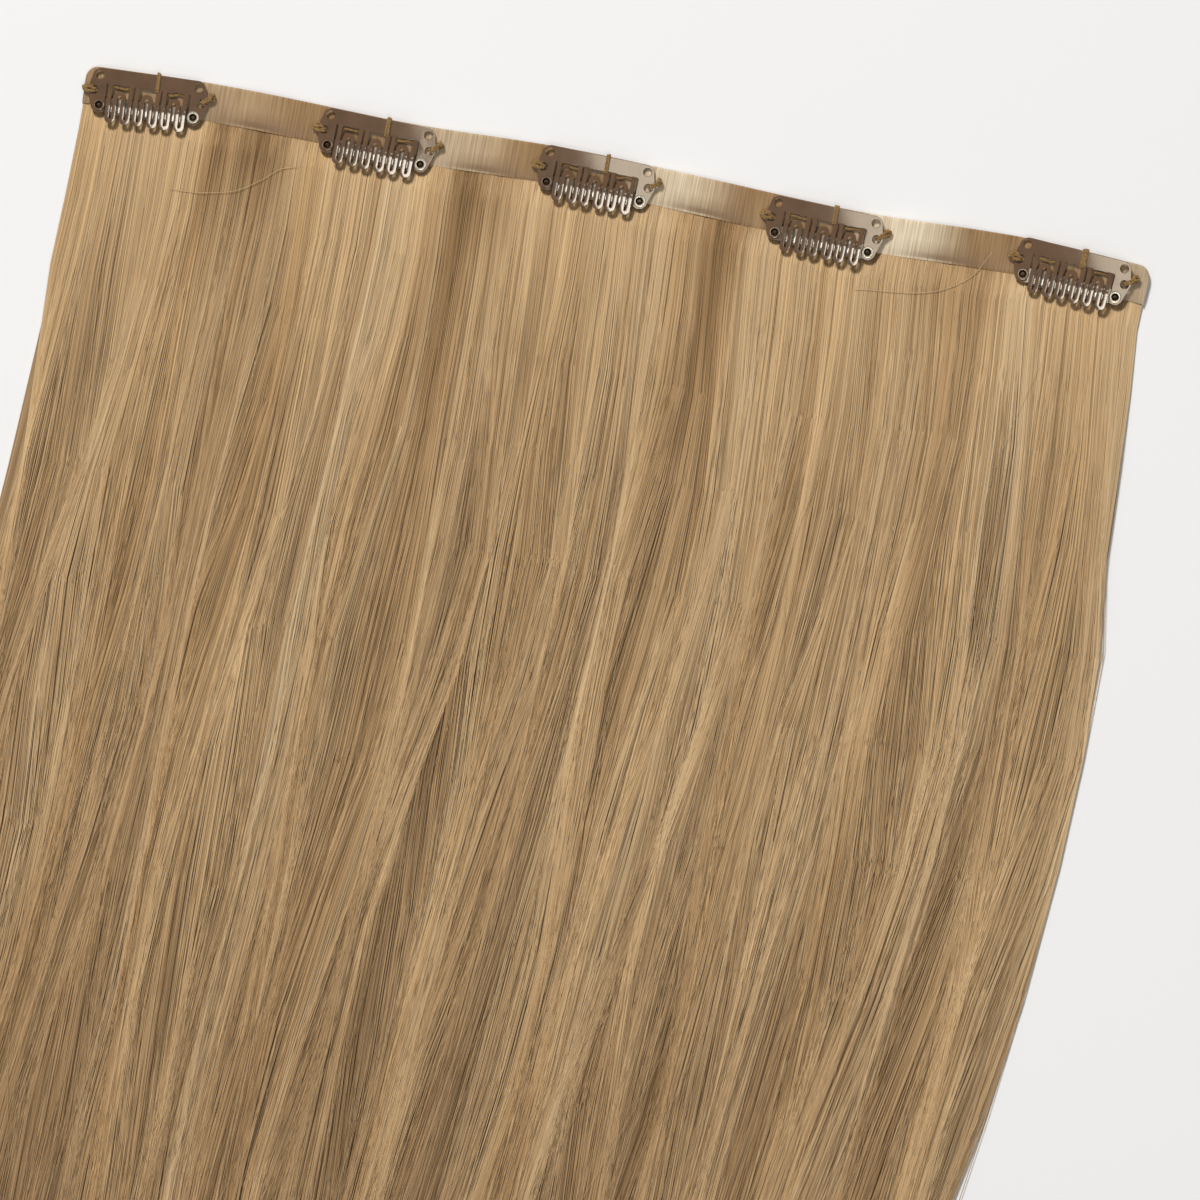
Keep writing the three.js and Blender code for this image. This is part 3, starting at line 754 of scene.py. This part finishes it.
def addThread(bm, corners, phase):
    # two plies twisted round each other
    path = smoothPath(corners, thread["step"])
    run = 0.0
    plies = ([], [])
    for i, point in enumerate(path):
        ahead = (path[min(i + 1, len(path) - 1)] - path[max(i - 1, 0)]).normalized()
        side = ahead.cross(Vector((0.3, 0.1, 1))).normalized()
        up = side.cross(ahead)
        angle = phase + math.tau * run / thread["twist"]
        offset = (side * math.cos(angle) + up * math.sin(angle)) * thread["ply"]
        plies[0].append(point + offset)
        plies[1].append(point - offset)
        if i + 1 < len(path):
            run += (path[i + 1] - point).length
    for ply in plies:
        addWire(bm, ply, thread["ply"], thread["sides"])


def knotRing(knot, turns, rng):
    # a few loose turns of thread round one spot, each tilted its own way
    corners = []
    tilt = rng.normal(0, knot["tilt"], (turns + 1, 2))
    for k in range(turns * 8 + 1):
        angle = math.tau * k / 8
        spin = Matrix.Rotation(tilt[k // 8][0], 3, "X") @ Matrix.Rotation(tilt[k // 8][1], 3, "Y")
        wide = knot["radius"] * (1 + rng.normal(0, 0.07))
        around = Vector((math.cos(angle) * wide, math.sin(angle) * wide, 0))
        corners.append(Vector(knot["spot"]) + spin @ around)
    return corners


# in millimetres: outwards from the sewing hole, down, and up from the plate's top
leftKnots = [
    {"spot": (1.5, 0.25, -0.25), "radius": 0.95, "tilt": 0.25, "turns": 2},
    {"spot": (2.35, 0.15, -0.4), "radius": 0.62, "tilt": 0.9, "turns": 2},
]
leftRuns = [[(-0.5, 0.2, -0.4), (-0.1, 0.25, 0.1), (0.8, 0.6, 0.24), (1.8, 0.5, 0.1), (2.6, 0.1, -0.5)],
            [(-0.3, -0.4, -0.5), (0.1, -0.3, 0.1), (0.9, -0.5, 0.22), (1.9, -0.3, 0.0), (2.5, 0.2, -0.6)]]
rightKnots = [
    {"spot": (2.5, 2.1, -0.3), "radius": 0.78, "tilt": 0.8, "turns": 3},
]
rightRuns = [[(-0.2, 0.3, -0.4), (0.2, 0.5, 0.12), (1.0, 1.1, 0.24), (1.9, 1.9, 0.1), (2.7, 2.3, -0.5)],
             [(0.2, 0.0, -0.4), (0.5, 0.15, 0.12), (1.3, 0.7, 0.24), (2.2, 1.5, 0.05), (2.9, 2.0, -0.5)]]

# the stitch over the bar, and the thread that runs behind it
barStitch = [(0.0, -0.2, -0.7), (0.0, 0.3, -0.5), (0.0, 0.42, -0.1), (0.0, 0.05, 0.26), (0.03, -1.6, 0.28),
             (0.08, -3.7, 0.26), (0.1, -4.3, -0.05), (0.1, -4.1, -0.6)]
stitchPlace = 2.2 * mm
stitchWidths = [(-0.16, 0.2), (-0.3, 0.3), (-0.2, 0.24), (-0.26, 0.3), (-0.5, 0.0, 0.46)]
backRuns = [[(-9.6, -4.75, -0.7), (-8.0, -4.55, -0.6), (-6.2, -4.8, -0.6), (-4.4, -4.6, -0.7)],
            [(4.4, -4.6, -0.7), (6.2, -4.75, -0.6), (8.0, -4.5, -0.6), (9.6, -4.75, -0.7)]]


def makeThreads(seats):
    finish = goldenThread()
    for number, seat in enumerate(seats):
        rng = np.random.default_rng(40 + number)
        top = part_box(seat["prefix"] + "_ear_left")[1].z
        bm = bmesh.new()
        inset, drop = clip["sewingHole"]
        for side, knots, runs in ((-1, leftKnots, leftRuns), (1, rightKnots, rightRuns)):
            hole = Vector((side * (clip["width"] / 2 - inset), -drop, top))
            for run in [knotRing(knot, knot["turns"], rng) for knot in knots] + runs:
                loose = rng.normal(0, 0.06, (len(run), 3))
                path = [hole + Vector((side * (x + dx), y + dy, z)) * mm
                        for (x, y, z), (dx, dy, _) in zip(run, loose)]
                addThread(bm, path, rng.uniform(0, math.tau))
        for run in backRuns:
            loose = rng.normal(0, 0.12, len(run))
            path = [Vector((x, y + dy, z)) * mm + Vector((0, 0, top)) for (x, y, z), dy in zip(run, loose)]
            addThread(bm, path, rng.uniform(0, math.tau))
        bmesh.ops.transform(bm, matrix=seat["place"], verts=bm.verts[:])
        piece = finishPiece(seat["prefix"] + "_side_stitches", bm, [finish], 60)
        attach(piece, "weft")
        bm = bmesh.new()
        foot = Vector((stitchPlace, 0, top + camberAt(seat, stitchPlace)))
        for offset in stitchWidths[number]:
            path = [Vector((x + offset, y, z)) * mm + foot for x, y, z in barStitch]
            addThread(bm, path, rng.uniform(0, math.tau))
        bmesh.ops.transform(bm, matrix=seat["place"], verts=bm.verts[:])
        piece = finishPiece(seat["prefix"] + "_bar_stitch", bm, [finish], 60)
        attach(piece, seat["body"])
    print("threads made")


# the band

band = {
    "length": 281 * mm,
    "height": 9.4 * mm,
    "overhang": 0.5 * mm,  # the film reaches this far over the hair's roots
    "thickness": 1.8 * mm,
    "film": 0.24 * mm,
    "fold": 0.8 * mm,
    "endRadius": 3.2 * mm,
    "step": 1.4 * mm,
    "ripple": 0.14 * mm,
    "lift": 0.6 * mm,  # the stitches pull the film up under each clip's bar
    "glare": [0.1, 0.2, 0.45, 0.8, 1.0, 0.4],  # painted glare: how pale the film's colour turns right of each end or clip
}


def bandKnots(seats):
    # places, heights and slopes of the band's middle line: it passes through each clip at the clip's turn
    knots = []
    for seat in seats:
        spot = seat["place"] @ Vector((0, 0.2 * mm - band["height"] / 2, 0))
        knots.append((spot.x, spot.y, math.tan(seat["turn"])))
    for i, end in ((0, -band["length"] / 2), (-1, band["length"] / 2)):
        x, y, slope = knots[i]
        knots.insert(0 if i == 0 else len(knots), (end, y + slope * (end - x), slope))
    return knots


def bandLine(knots, x):
    # the middle line's y at each x, smooth between the knots
    x = np.asarray(x, float)
    places = np.array([k[0] for k in knots])
    i = np.clip(np.searchsorted(places, x) - 1, 0, len(knots) - 2)
    x0, y0, s0 = (np.array([k[j] for k in knots])[i] for j in range(3))
    x1, y1, s1 = (np.array([k[j] for k in knots])[i + 1] for j in range(3))
    span = x1 - x0
    u = (x - x0) / span
    return y0 * (1 - u) ** 2 * (1 + 2 * u) + y1 * u ** 2 * (3 - 2 * u) + span * (
        s0 * u * (1 - u) ** 2 - s1 * u ** 2 * (1 - u))


def betweenClips(knots, x):
    # nothing at the clips, one halfway between two of them
    x = np.asarray(x, float)
    share = np.zeros_like(x)
    for a, b in zip(knots[1:-2], knots[2:-1]):
        start, end = a[0] + clip["width"] / 2, b[0] - clip["width"] / 2
        inside = (x > start) & (x < end)
        share = np.where(inside, np.sin(math.pi * (x - start) / (end - start)) ** 2, share)
    return share


def underClips(knots, x):
    # one under a clip's bar, nothing well beside it
    return max(1 - float(softStep(9, 15.5, abs(x - place) / mm)) for place, _, _ in knots[1:-1])


def bandRise(knots, x):
    # between two clips the band arches off the surface
    return (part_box("weft_band")[1].z - band["thickness"]) * betweenClips(knots, x)


def paintedGlareAt(knots, x):
    # painted glare: the film catches more light just right of a clip and less towards the next one, painted
    # as a paler colour
    pale = 0.0
    for (place, _, _), strength in zip(knots[:-1], band["glare"]):
        run = (x - place) / mm
        rise = float(softStep(4, 15, run)) if place > knots[0][0] else 1.0
        pale = max(pale, strength * rise * (1 - float(softStep(22, 40, run))))
    return pale


def hemShadeAt(height, free):
    # painted shade: how dark the film's colour is made at a height above its open edge, dark above a thin
    # line left in the film's own colour, and darker between clips
    if height < 0.35 * mm:
        return 0.0
    soft = float(softStep(0.35 * mm, 0.7 * mm, height)) * (1 - float(softStep(1.6 * mm, 3.3 * mm, height)))
    return soft * (0.1 + 0.72 * free)


def bandSection(top):
    # the fold's outline, across the band and up; its upper film bends down to the hair at the open edge
    low, thick, film = -band["height"] / 2 - band["overhang"], band["thickness"], band["film"]
    turn = thick / 2 - 0.2 * mm
    sag = [(0, 0.42 * mm), (0.35 * mm, 0.3 * mm), (0.75 * mm, 0.2 * mm), (1.4 * mm, 0.09 * mm), (2.4 * mm, 0)]
    crest = [(top - 0.9 * mm - run * mm, thick) for run in (0.8, 1.8, 2.8, 3.8)]
    outer = arcPoints(top - turn, turn, turn, -90, 0, 4) + arcPoints(top - turn, thick - turn, turn, 0, 90, 4)
    upper = [(low + run, thick - drop) for run, drop in reversed(sag)]
    under = [(low + run, thick - drop - film) for run, drop in sag]
    inner = [(top - band["fold"], thick - film), (top - band["fold"], film), (low, film)]
    return [(low, 0.0)] + outer + crest + upper + under + inner


def makeBand(knots):
    half, radius = band["length"] / 2, band["endRadius"]
    ends = [half - radius * (1 - math.sin(math.pi / 2 * i / 8)) for i in range(9)]
    steps = round((band["length"] - 2 * radius) / band["step"])
    inner = np.linspace(-half + radius, half - radius, steps + 1)[1:-1]
    stations = [-x for x in reversed(ends)] + list(inner) + ends
    rng = np.random.default_rng(5)
    waves = [(rng.uniform(0, math.tau), length) for length in (31 * mm, 17 * mm, 9 * mm)]
    bm = bmesh.new()
    hemShadeLayer = bm.verts.layers.float.new("hem")
    paintedGlareLayer = bm.verts.layers.float.new("pale")
    ring = first = None
    for x in stations:
        short = max(radius - (half - abs(x)), 0)
        top = band["height"] / 2 - radius + math.sqrt(max(radius ** 2 - short ** 2, 0))
        slope = float(bandLine(knots, x + 0.01 * mm) - bandLine(knots, x - 0.01 * mm)) / (0.02 * mm)
        size = math.hypot(1, slope)
        y, free = float(bandLine(knots, x)), float(betweenClips(knots, x))
        rise = float(bandRise(knots, x))
        ripple = sum(math.sin(phase + math.tau * x / length) for phase, length in waves) * band["ripple"] / 3
        if ring is None:
            verts = [bm.verts.new() for _ in bandSection(top)]
            ring = first = [bm.edges.new((v, verts[(i + 1) % len(verts)])) for i, v in enumerate(verts)]
        else:
            grown = bmesh.ops.extrude_edge_only(bm, edges=ring)["geom"]
            verts = [g for g in grown if isinstance(g, bmesh.types.BMVert)]
            ring = [g for g in grown if isinstance(g, bmesh.types.BMEdge)
                    and all(v in verts for v in g.verts)]
        for vert, (across, z) in zip(verts, bandSection(top)):
            openSide = max(-across, 0) / (band["height"] / 2)
            # painted shade above the film's open edge
            vert[hemShadeLayer] = hemShadeAt(across + band["height"] / 2 + band["overhang"], free)
            # painted glare beside the clips
            vert[paintedGlareLayer] = paintedGlareAt(knots, x)
            pulled = 0
            if z > band["thickness"] * 0.6:
                pulled = band["lift"] * math.exp(-((across - 1.4 * mm) / (2.2 * mm)) ** 2)
            high = z + rise + ripple * openSide * free + pulled * underClips(knots, x)
            vert.co = (x - across * slope / size, y + across / size, high)
    bmesh.ops.holes_fill(bm, edges=first, sides=0)
    bmesh.ops.holes_fill(bm, edges=ring, sides=0)
    bmesh.ops.recalc_face_normals(bm, faces=bm.faces[:])
    piece = finishPiece("root_band", bm, [rootBandFilm()], 40)
    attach(piece, "weft")
    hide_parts("weft_band")
    print("band made")


# the hair

hair = {
    "strands": 9200,
    "bundles": 5,
    "stations": 15,
    "crowd": 1.45,  # stations stand closer together at the root
    "radius": 0.108 * mm,
    "tipRadius": 0.045 * mm,
    "tuck": 1.6 * mm,  # how far a strand reaches into the band
    "sideGap": 0.4 * mm,
    "low": 1.96 * mm,  # the hair stays this low under the teeth
    "lowRun": 6 * mm,  # for this far down, and then rises at this slope
    "lowSlope": 0.11,
    "skin": 0.36 * mm,  # how deep below the top most strands lie
    "clumps": 66,
    "gather": 0.22,
    "columns": 220,
    "rows": 90,
    "seed": 11,
}

# broad folds: how many across the weft, how far they wander sideways on the way down, and how strong
folds = [(8, 0.9, 0.42), (15, -1.6, 0.3), (29, 2.3, 0.26), (47, -2.9, 0.16)]


# hollows beside the clips, in millimetres: where, how wide, how dark their painted shade on the hair and how
# deep, and how far down
hollows = [
    {"place": -103.6, "width": 2.4, "dark": 0.26, "deep": 0.5, "reach": 62},
    {"place": -93.0, "width": 7.5, "dark": 0.2, "deep": 0.3, "reach": 34},
    {"place": -38.5, "width": 5.0, "dark": 0.17, "deep": 0.5, "reach": 70},
    {"place": 31.7, "width": 4.6, "dark": 0.32, "deep": 0.6, "reach": 84},
    {"place": 101.0, "width": 5.0, "dark": 0.18, "deep": 0.5, "reach": 48},
]


def hollowAt(x, distance, kind):
    # with "dark" the hollows put painted shade on the hair's tone; with "deep" they sink the hair
    total = 0
    for hollow in hollows:
        across = np.exp(-((x / mm - hollow["place"] + 0.05 * distance / mm) / hollow["width"]) ** 2)
        total = total + hollow[kind] * across * (1 - softStep(0.25, 1, distance / mm / hollow["reach"]))
    return total


def hairGround(knots):
    # the curtain's sides, end and height, measured on the frame's own hair solid
    bm = bmesh.new()
    bm.from_mesh(frame["nodes"]["hair_curtain"].data)
    tree = BVHTree.FromBMesh(bm)
    bm.free()
    low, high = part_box("hair_curtain")
    across = np.linspace(0, 1, hair["columns"])
    rootX = (across - 0.5) * (band["length"] - 2 * hair["sideGap"])
    rootY = bandLine(knots, rootX) - band["height"] / 2
    full = float(rootY.mean() - low.y)
    down = np.linspace(0, full, hair["rows"])
    sides = []
    for distance in down:
        y = float(rootY.mean()) - min(max(distance, 4 * mm), full * 0.94)
        left = tree.ray_cast(Vector((low.x - 0.05, y, 0.4 * mm)), Vector((1, 0, 0)))[0]
        right = tree.ray_cast(Vector((high.x + 0.05, y, 0.4 * mm)), Vector((-1, 0, 0)))[0]
        sides.append((left.x, right.x))
    sides = np.array(sides)
    height = np.zeros((hair["rows"], hair["columns"]))
    for j, distance in enumerate(down):
        for i, share in enumerate(across):
            x = sides[j, 0] + (sides[j, 1] - sides[j, 0]) * min(max(share, 0.004), 0.996)
            hit = tree.ray_cast(Vector((x, rootY[i] - distance, 0.05)), Vector((0, 0, -1)))[0]
            height[j, i] = hit.z if hit else -1
    covered = height > 0
    ends = np.array([down[np.nonzero(covered[:, i])[0][-1]] for i in range(hair["columns"])])
    for j in range(1, hair["rows"]):
        height[j] = np.where(covered[j], height[j], height[j - 1])
    return {"down": down, "sides": sides, "height": height, "rootX": rootX, "rootY": rootY, "ends": ends,
            "across": across, "knots": knots}


def heightAt(ground, share, distance):
    # the curtain's height at shares across and distances down
    rows = np.clip(distance / ground["down"][-1] * (hair["rows"] - 1), 0, hair["rows"] - 1.001)
    cols = np.clip(share * (hair["columns"] - 1), 0, hair["columns"] - 1.001)
    j, i = rows.astype(int), cols.astype(int)
    v, u = rows - j, cols - i
    h = ground["height"]
    return (h[j, i] * (1 - u) + h[j, i + 1] * u) * (1 - v) + (h[j + 1, i] * (1 - u) + h[j + 1, i + 1] * u) * v


def flow(ground, share, distance):
    # x and y of a point of the curtain
    left = np.interp(distance, ground["down"], ground["sides"][:, 0])
    right = np.interp(distance, ground["down"], ground["sides"][:, 1])
    rootX = (share - 0.5) * (band["length"] - 2 * hair["sideGap"])
    settle = softStep(0, 30 * mm, distance)
    x = rootX * (1 - settle) + (left + (right - left) * share) * settle
    return x, np.interp(rootX, ground["rootX"], ground["rootY"]) - distance


def lowRoot(distance):
    # the greatest height of the hair near its root
    return hair["low"] + hair["lowSlope"] * np.maximum(distance - hair["lowRun"], 0)


def foldAt(share, distance):
    # broad folds run down the weft and drift sideways; about -1 to 1
    total = np.zeros(np.broadcast(share, distance).shape)
    for number, (count, drift, strength) in enumerate(folds):
        wander = np.sin(distance / (110 * mm) + number * 1.9) * 0.8 + drift * distance / (450 * mm) * math.pi
        total = total + strength * np.sin(math.tau * count * share + wander + 2.1 * number
                                          + 1.2 * np.sin(math.tau * share * count / 3.3 + number))
    return total


def tubeMesh(name, paths, radii, tones, tints, material):
    # closed three-sided tubes along many paths at once; the map holds each one's tone and tint
    count, stations, _ = paths.shape
    ahead = np.gradient(paths, axis=1)
    ahead /= np.linalg.norm(ahead, axis=2, keepdims=True)
    side = np.cross(ahead, (0, 0, 1))
    side /= np.linalg.norm(side, axis=2, keepdims=True)
    up = np.cross(side, ahead)
    rings = []
    for k in range(3):
        angle = math.pi / 2 + math.tau * k / 3
        rings.append(paths + (side * math.cos(angle) + up * math.sin(angle)) * radii[..., None])
    verts = np.stack(rings, axis=2).reshape(-1, 3)
    start = (np.arange(count) * stations * 3)[:, None, None]
    j = np.arange(stations - 1)[None, :, None] * 3
    k = np.arange(3)[None, None, :]
    after = (k + 1) % 3
    base = start + j
    quads = np.stack([base + k, base + k + 3, base + after + 3, base + after], axis=-1).reshape(-1, 4)
    first = start[:, 0, 0]
    last = first + (stations - 1) * 3
    caps = np.concatenate([np.stack([first, first + 1, first + 2], 1),
                           np.stack([last + 2, last + 1, last], 1)])
    loops = np.concatenate([quads.reshape(-1), caps.reshape(-1)])
    mesh = bpy.data.meshes.new(name)
    mesh.vertices.add(len(verts))
    mesh.vertices.foreach_set("co", verts.astype(np.float32).reshape(-1))
    mesh.loops.add(len(loops))
    mesh.loops.foreach_set("vertex_index", loops.astype(np.int32))
    faces = len(quads) + len(caps)
    starts = np.concatenate([np.arange(len(quads)) * 4, len(quads) * 4 + np.arange(len(caps)) * 3])
    mesh.polygons.add(faces)
    mesh.polygons.foreach_set("loop_start", starts.astype(np.int32))
    mesh.polygons.foreach_set("use_smooth", np.ones(faces, bool))
    uv = mesh.uv_layers.new(name="strand")
    strand, station = loops // (stations * 3), (loops // 3) % stations
    corners = np.stack([tones[strand, station], tints[strand]], 1)
    uv.data.foreach_set("uv", corners.astype(np.float32).reshape(-1))
    mesh.update()
    mesh.validate()
    mesh.materials.append(material)
    piece = bpy.data.objects.new(name, mesh)
    bpy.context.scene.collection.objects.link(piece)
    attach(piece, "weft")


# sideways waves that neighbouring strands share: how far, over what length, and how they wander across
sways = [(3.0 * mm, 340 * mm, 3.0), (1.7 * mm, 190 * mm, 6.0), (0.6 * mm, 110 * mm, 15.0)]


def sharedSway(rng, share, distance):
    # none at the root and wider towards the tips
    total = np.zeros(np.broadcast(share, distance).shape)
    for size, span, wander in sways:
        phase = rng.uniform(0, math.tau, 3)
        drift = (np.sin(wander * share * math.tau + phase[0])
                 + np.sin(1.7 * wander * share * math.tau + phase[1]))
        total = total + size * np.sin(math.tau * distance / span + 2.0 * drift + phase[2])
    return total * softStep(2 * mm, 120 * mm, distance)


def strandTones(rng, ground, share, near, x, distance, clump):
    # light and dark: fine streaks that neighbours share, each strand's own shade, and painted light and shade
    # of the folds, the dips between clips, the hollows and the light down the weft
    fine = rng.uniform(-1, 1, 1500)
    streak = np.interp(share, np.linspace(0, 1, 1500), fine)[:, None]
    own = rng.normal(0, 1, (len(share), 1))
    tone = 0.67 + 0.06 * streak + 0.095 * own + 0.045 * clump
    # painted light and shade: the tone follows the same folds that lift and lower the strands
    tone = tone + 0.12 * foldAt(near, distance) * softStep(3 * mm, 60 * mm, distance)
    # painted shade where the hair dips below the band between clips, painted sheen just below the clips, and
    # painted shade in the hollows
    valleyShade = betweenClips(ground["knots"], x)
    tone = tone - 0.17 * valleyShade * (1 - softStep(4 * mm, 34 * mm, distance)) - hollowAt(x, distance, "dark")
    tone = tone + 0.05 * (1 - valleyShade) * (1 - softStep(20 * mm, 75 * mm, distance))
    # painted shade: the hair is darkened down the weft, as the light fades in the photograph; below its edge
    # the painted shade eases off, and the tips are painted lighter against the shade among their thin ends
    lower = softStep(150 * mm, 260 * mm, distance) * (1 - softStep(350 * mm, 430 * mm, distance))
    tip = softStep(390 * mm, 440 * mm, distance)
    return (tone + 0.02 - 0.13 * lower + 0.09 * tip).clip(0.02, 0.98)


def makeStrands(ground):
    rng = np.random.default_rng(hair["seed"])
    count, stations = hair["strands"], hair["stations"]
    width = band["length"]
    share = ((np.arange(count) + rng.uniform(0, 1, count)) / count).clip(0.0005, 0.9995)
    length = np.interp(share, ground["across"], ground["ends"])
    length = length - np.abs(rng.normal(0, 9 * mm, count)) + 4 * mm
    way = (np.arange(stations) / (stations - 1)) ** hair["crowd"]
    distance = -hair["tuck"] + (length[:, None] + hair["tuck"]) * way[None, :]
    clump = (share * hair["clumps"] + rng.normal(0, 0.22, count)).astype(int).clip(0, hair["clumps"] - 1)
    middle = (clump + 0.5) / hair["clumps"]
    near = share[:, None] + (middle - share)[:, None] * hair["gather"] * softStep(20 * mm, 260 * mm, distance)
    clumpSway, clumpTone, clumpLift = (rng.normal(0, 1, hair["clumps"])[clump][:, None] for _ in range(3))
    clumpPhase = rng.uniform(0, math.tau, hair["clumps"])[clump][:, None]
    sway = sharedSway(rng, share[:, None], distance)
    sway = sway + 1.4 * mm * clumpSway * softStep(30 * mm, 420 * mm, distance)
    swing = np.sin(math.tau * distance / (150 * mm) + clumpPhase)
    sway = sway + 0.5 * mm * swing * softStep(8 * mm, 60 * mm, distance)
    own = rng.normal(0, 1, (count, 1)) * 0.8 * mm * softStep(10 * mm, 300 * mm, distance)
    stray = (rng.uniform(0, 1, (count, 1)) < 0.05) * rng.normal(0, 1, (count, 1))
    own = own + stray * 2.6 * mm * softStep(20 * mm, 200 * mm, distance)
    near = (near + (sway + own) / width).clip(-0.008, 1.008)
    x, y = flow(ground, near, distance)
    top = heightAt(ground, near, np.maximum(distance, 0.2 * mm))
    depth = hair["skin"] * rng.exponential(1, (count, 1)).clip(0, 3)
    free = softStep(6 * mm, 60 * mm, distance)
    z = np.minimum(top, lowRoot(distance)) - depth * softStep(0, 12 * mm, distance)
    wave = 0.3 * clumpLift * np.sin(math.tau * distance / (230 * mm) + clumpPhase)
    wave = wave + 0.65 * foldAt(near, distance)
    z = z + wave * mm * free - hollowAt(x, distance, "deep") * mm * softStep(3 * mm, 12 * mm, distance)
    edge = np.minimum(near, 1 - near) * width
    z = z * (0.3 + 0.7 * softStep(-1 * mm, 7 * mm, edge))
    root = 1.0 * mm + bandRise(ground["knots"], x) + rng.uniform(-0.22, 0.16, (count, 1)) * mm
    inside = 1 - softStep(0.3 * mm, 3.2 * mm, distance)
    z = root * inside + np.maximum(z, 0.2 * mm) * (1 - inside)
    taper = 1 - softStep(0.9, 1.0, way)[None, :] * (1 - hair["tipRadius"] / hair["radius"])
    radii = hair["radius"] * taper * rng.uniform(0.8, 1.15, (count, 1))
    tones = strandTones(rng, ground, share, near, x, distance, clumpTone)
    tints = 0.55 + 0.1 * np.sin(share * 90) * np.sin(share * 37) + rng.normal(0, 0.16, count)
    tints = tints.clip(0.01, 0.99)
    paths = np.stack([x, y, z], axis=2)
    finish = strandHair()
    for b in range(hair["bundles"]):
        part = slice(b * count // hair["bundles"], (b + 1) * count // hair["bundles"])
        tubeMesh(f"hair_strands_{b + 1}", paths[part], radii[part], tones[part], tints[part], finish)
    print("strands made:", count)
    makeFlyaways(ground, rng, finish)


flyaways = {
    "count": 80,
    "stations": 26,
    "radius": 0.05 * mm,
    # two stray hairs that cross the others just under the band: right and up in the picture, in millimetres
    "crossing": [
        [(-111.7, 106.8), (-104.5, 105.8), (-95, 106.2), (-87.8, 109.1), (-83.2, 111.8), (-78.5, 112.6)],
        [(66.0, 80.9), (78.1, 79.9), (85, 79.9), (89.8, 80.8), (94, 82.4), (97.7, 85.1), (101.7, 90.2)],
    ],
}


def makeFlyaways(ground, rng, finish):
    count, stations = flyaways["count"], flyaways["stations"]
    share = rng.uniform(0.01, 0.99, (count, 1))
    start = rng.uniform(0.04, 0.6, (count, 1)) * ground["down"][-1]
    reach = rng.uniform(60, 200, (count, 1)) * mm
    way = np.linspace(0, 1, stations)[None, :]
    distance = np.minimum(start + reach * way, ground["down"][-1] * 0.97)
    bend = rng.normal(0, 7, (count, 1)) * mm * np.sin(math.pi * way * rng.uniform(0.6, 1.4, (count, 1)))
    near = (share + bend / band["length"]).clip(0.001, 0.999)
    x, y = flow(ground, near, distance)
    lift = (0.25 + 1.1 * np.sin(math.pi * way) * rng.uniform(0.2, 1, (count, 1))) * mm
    z = heightAt(ground, near, distance) + lift
    paths = [np.stack([x, y, z], axis=2)]
    for corners in flyaways["crossing"]:
        spots = smoothPath([pictureSpot(right * mm, up * mm, 0) for right, up in corners], 0.1 * mm)
        spots = [spots[round(k * (len(spots) - 1) / (stations - 1))] for k in range(stations)]
        down = np.array([float(bandLine(ground["knots"], s.x)) - band["height"] / 2 - s.y for s in spots])
        shares = np.array([s.x / (band["length"] - 2 * hair["sideGap"]) + 0.5 for s in spots])
        down = down.clip(0.5 * mm, 1)
        high = np.minimum(heightAt(ground, shares, down), lowRoot(down)) + 0.5 * mm
        paths.append(np.array([[(s.x, s.y, z) for s, z in zip(spots, high)]]))
    paths = np.concatenate(paths)
    radii = np.full(paths.shape[:2], flyaways["radius"])
    radii[count:] *= 1.6
    tones = np.repeat(rng.uniform(0.6, 1, (len(paths), 1)), stations, axis=1)
    tones[count:] = 0.97
    tubeMesh("hair_flyaways", paths, radii, tones, rng.uniform(0.2, 0.8, len(paths)), finish)


def makeUnderHair(ground):
    # a grooved body under the strands: a sheet laid out over the curtain, then closed down to the surface
    bm = bmesh.new()
    bmesh.ops.create_grid(bm, x_segments=180, y_segments=50, size=0.5)
    uv = bm.loops.layers.uv.new("strand")
    for face in bm.faces:
        for loop in face.loops:
            loop[uv].uv = (loop.vert.co.x + 0.5, 0.5 - loop.vert.co.y)
    flat = np.array([v.co for v in bm.verts])
    share = (flat[:, 0] + 0.5).clip(0.004, 0.996)
    way = 0.5 - flat[:, 1]
    length = np.interp(share, ground["across"], ground["ends"]) - 8 * mm
    distance = 0.8 * mm + (length - 0.8 * mm) * way ** 1.4
    x, y = flow(ground, share, distance)
    top = np.minimum(heightAt(ground, share, distance), lowRoot(distance))
    top = top - 0.95 * mm * softStep(2 * mm, 20 * mm, distance)
    top = top + 0.5 * mm * foldAt(share, distance) * softStep(6 * mm, 60 * mm, distance)
    top = top - hollowAt(x, distance, "deep") * mm * softStep(3 * mm, 12 * mm, distance)
    edge = np.minimum(share, 1 - share) * band["length"]
    top = top * (0.3 + 0.7 * softStep(0, 8 * mm, edge))
    top = np.maximum(top * (1 - 0.6 * softStep(0.85, 1.0, way)), 0.35 * mm)
    root = 0.85 * mm + bandRise(ground["knots"], x)
    inside = 1 - softStep(0.5 * mm, 3.6 * mm, distance)
    top = root * inside + top * (1 - inside)
    for vert, px, py, pz in zip(bm.verts, x, y, top):
        vert.co = (px, py, pz)
    raised = bmesh.ops.extrude_face_region(bm, geom=bm.faces[:], use_keep_orig=True)
    for item in raised["geom"]:
        if isinstance(item, bmesh.types.BMVert):
            item.co.z = 0.08 * mm
    bmesh.ops.recalc_face_normals(bm, faces=bm.faces[:])
    piece = finishPiece("under_hair", bm, [underHair()], 60)
    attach(piece, "weft")
    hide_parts("hair_curtain")


makeCamera()
makeStudio()
seats = clipPlaces()
makeClips(seats)
makeThreads(seats)
knots = bandKnots(seats)
makeBand(knots)
ground = hairGround(knots)
makeUnderHair(ground)
makeStrands(ground)
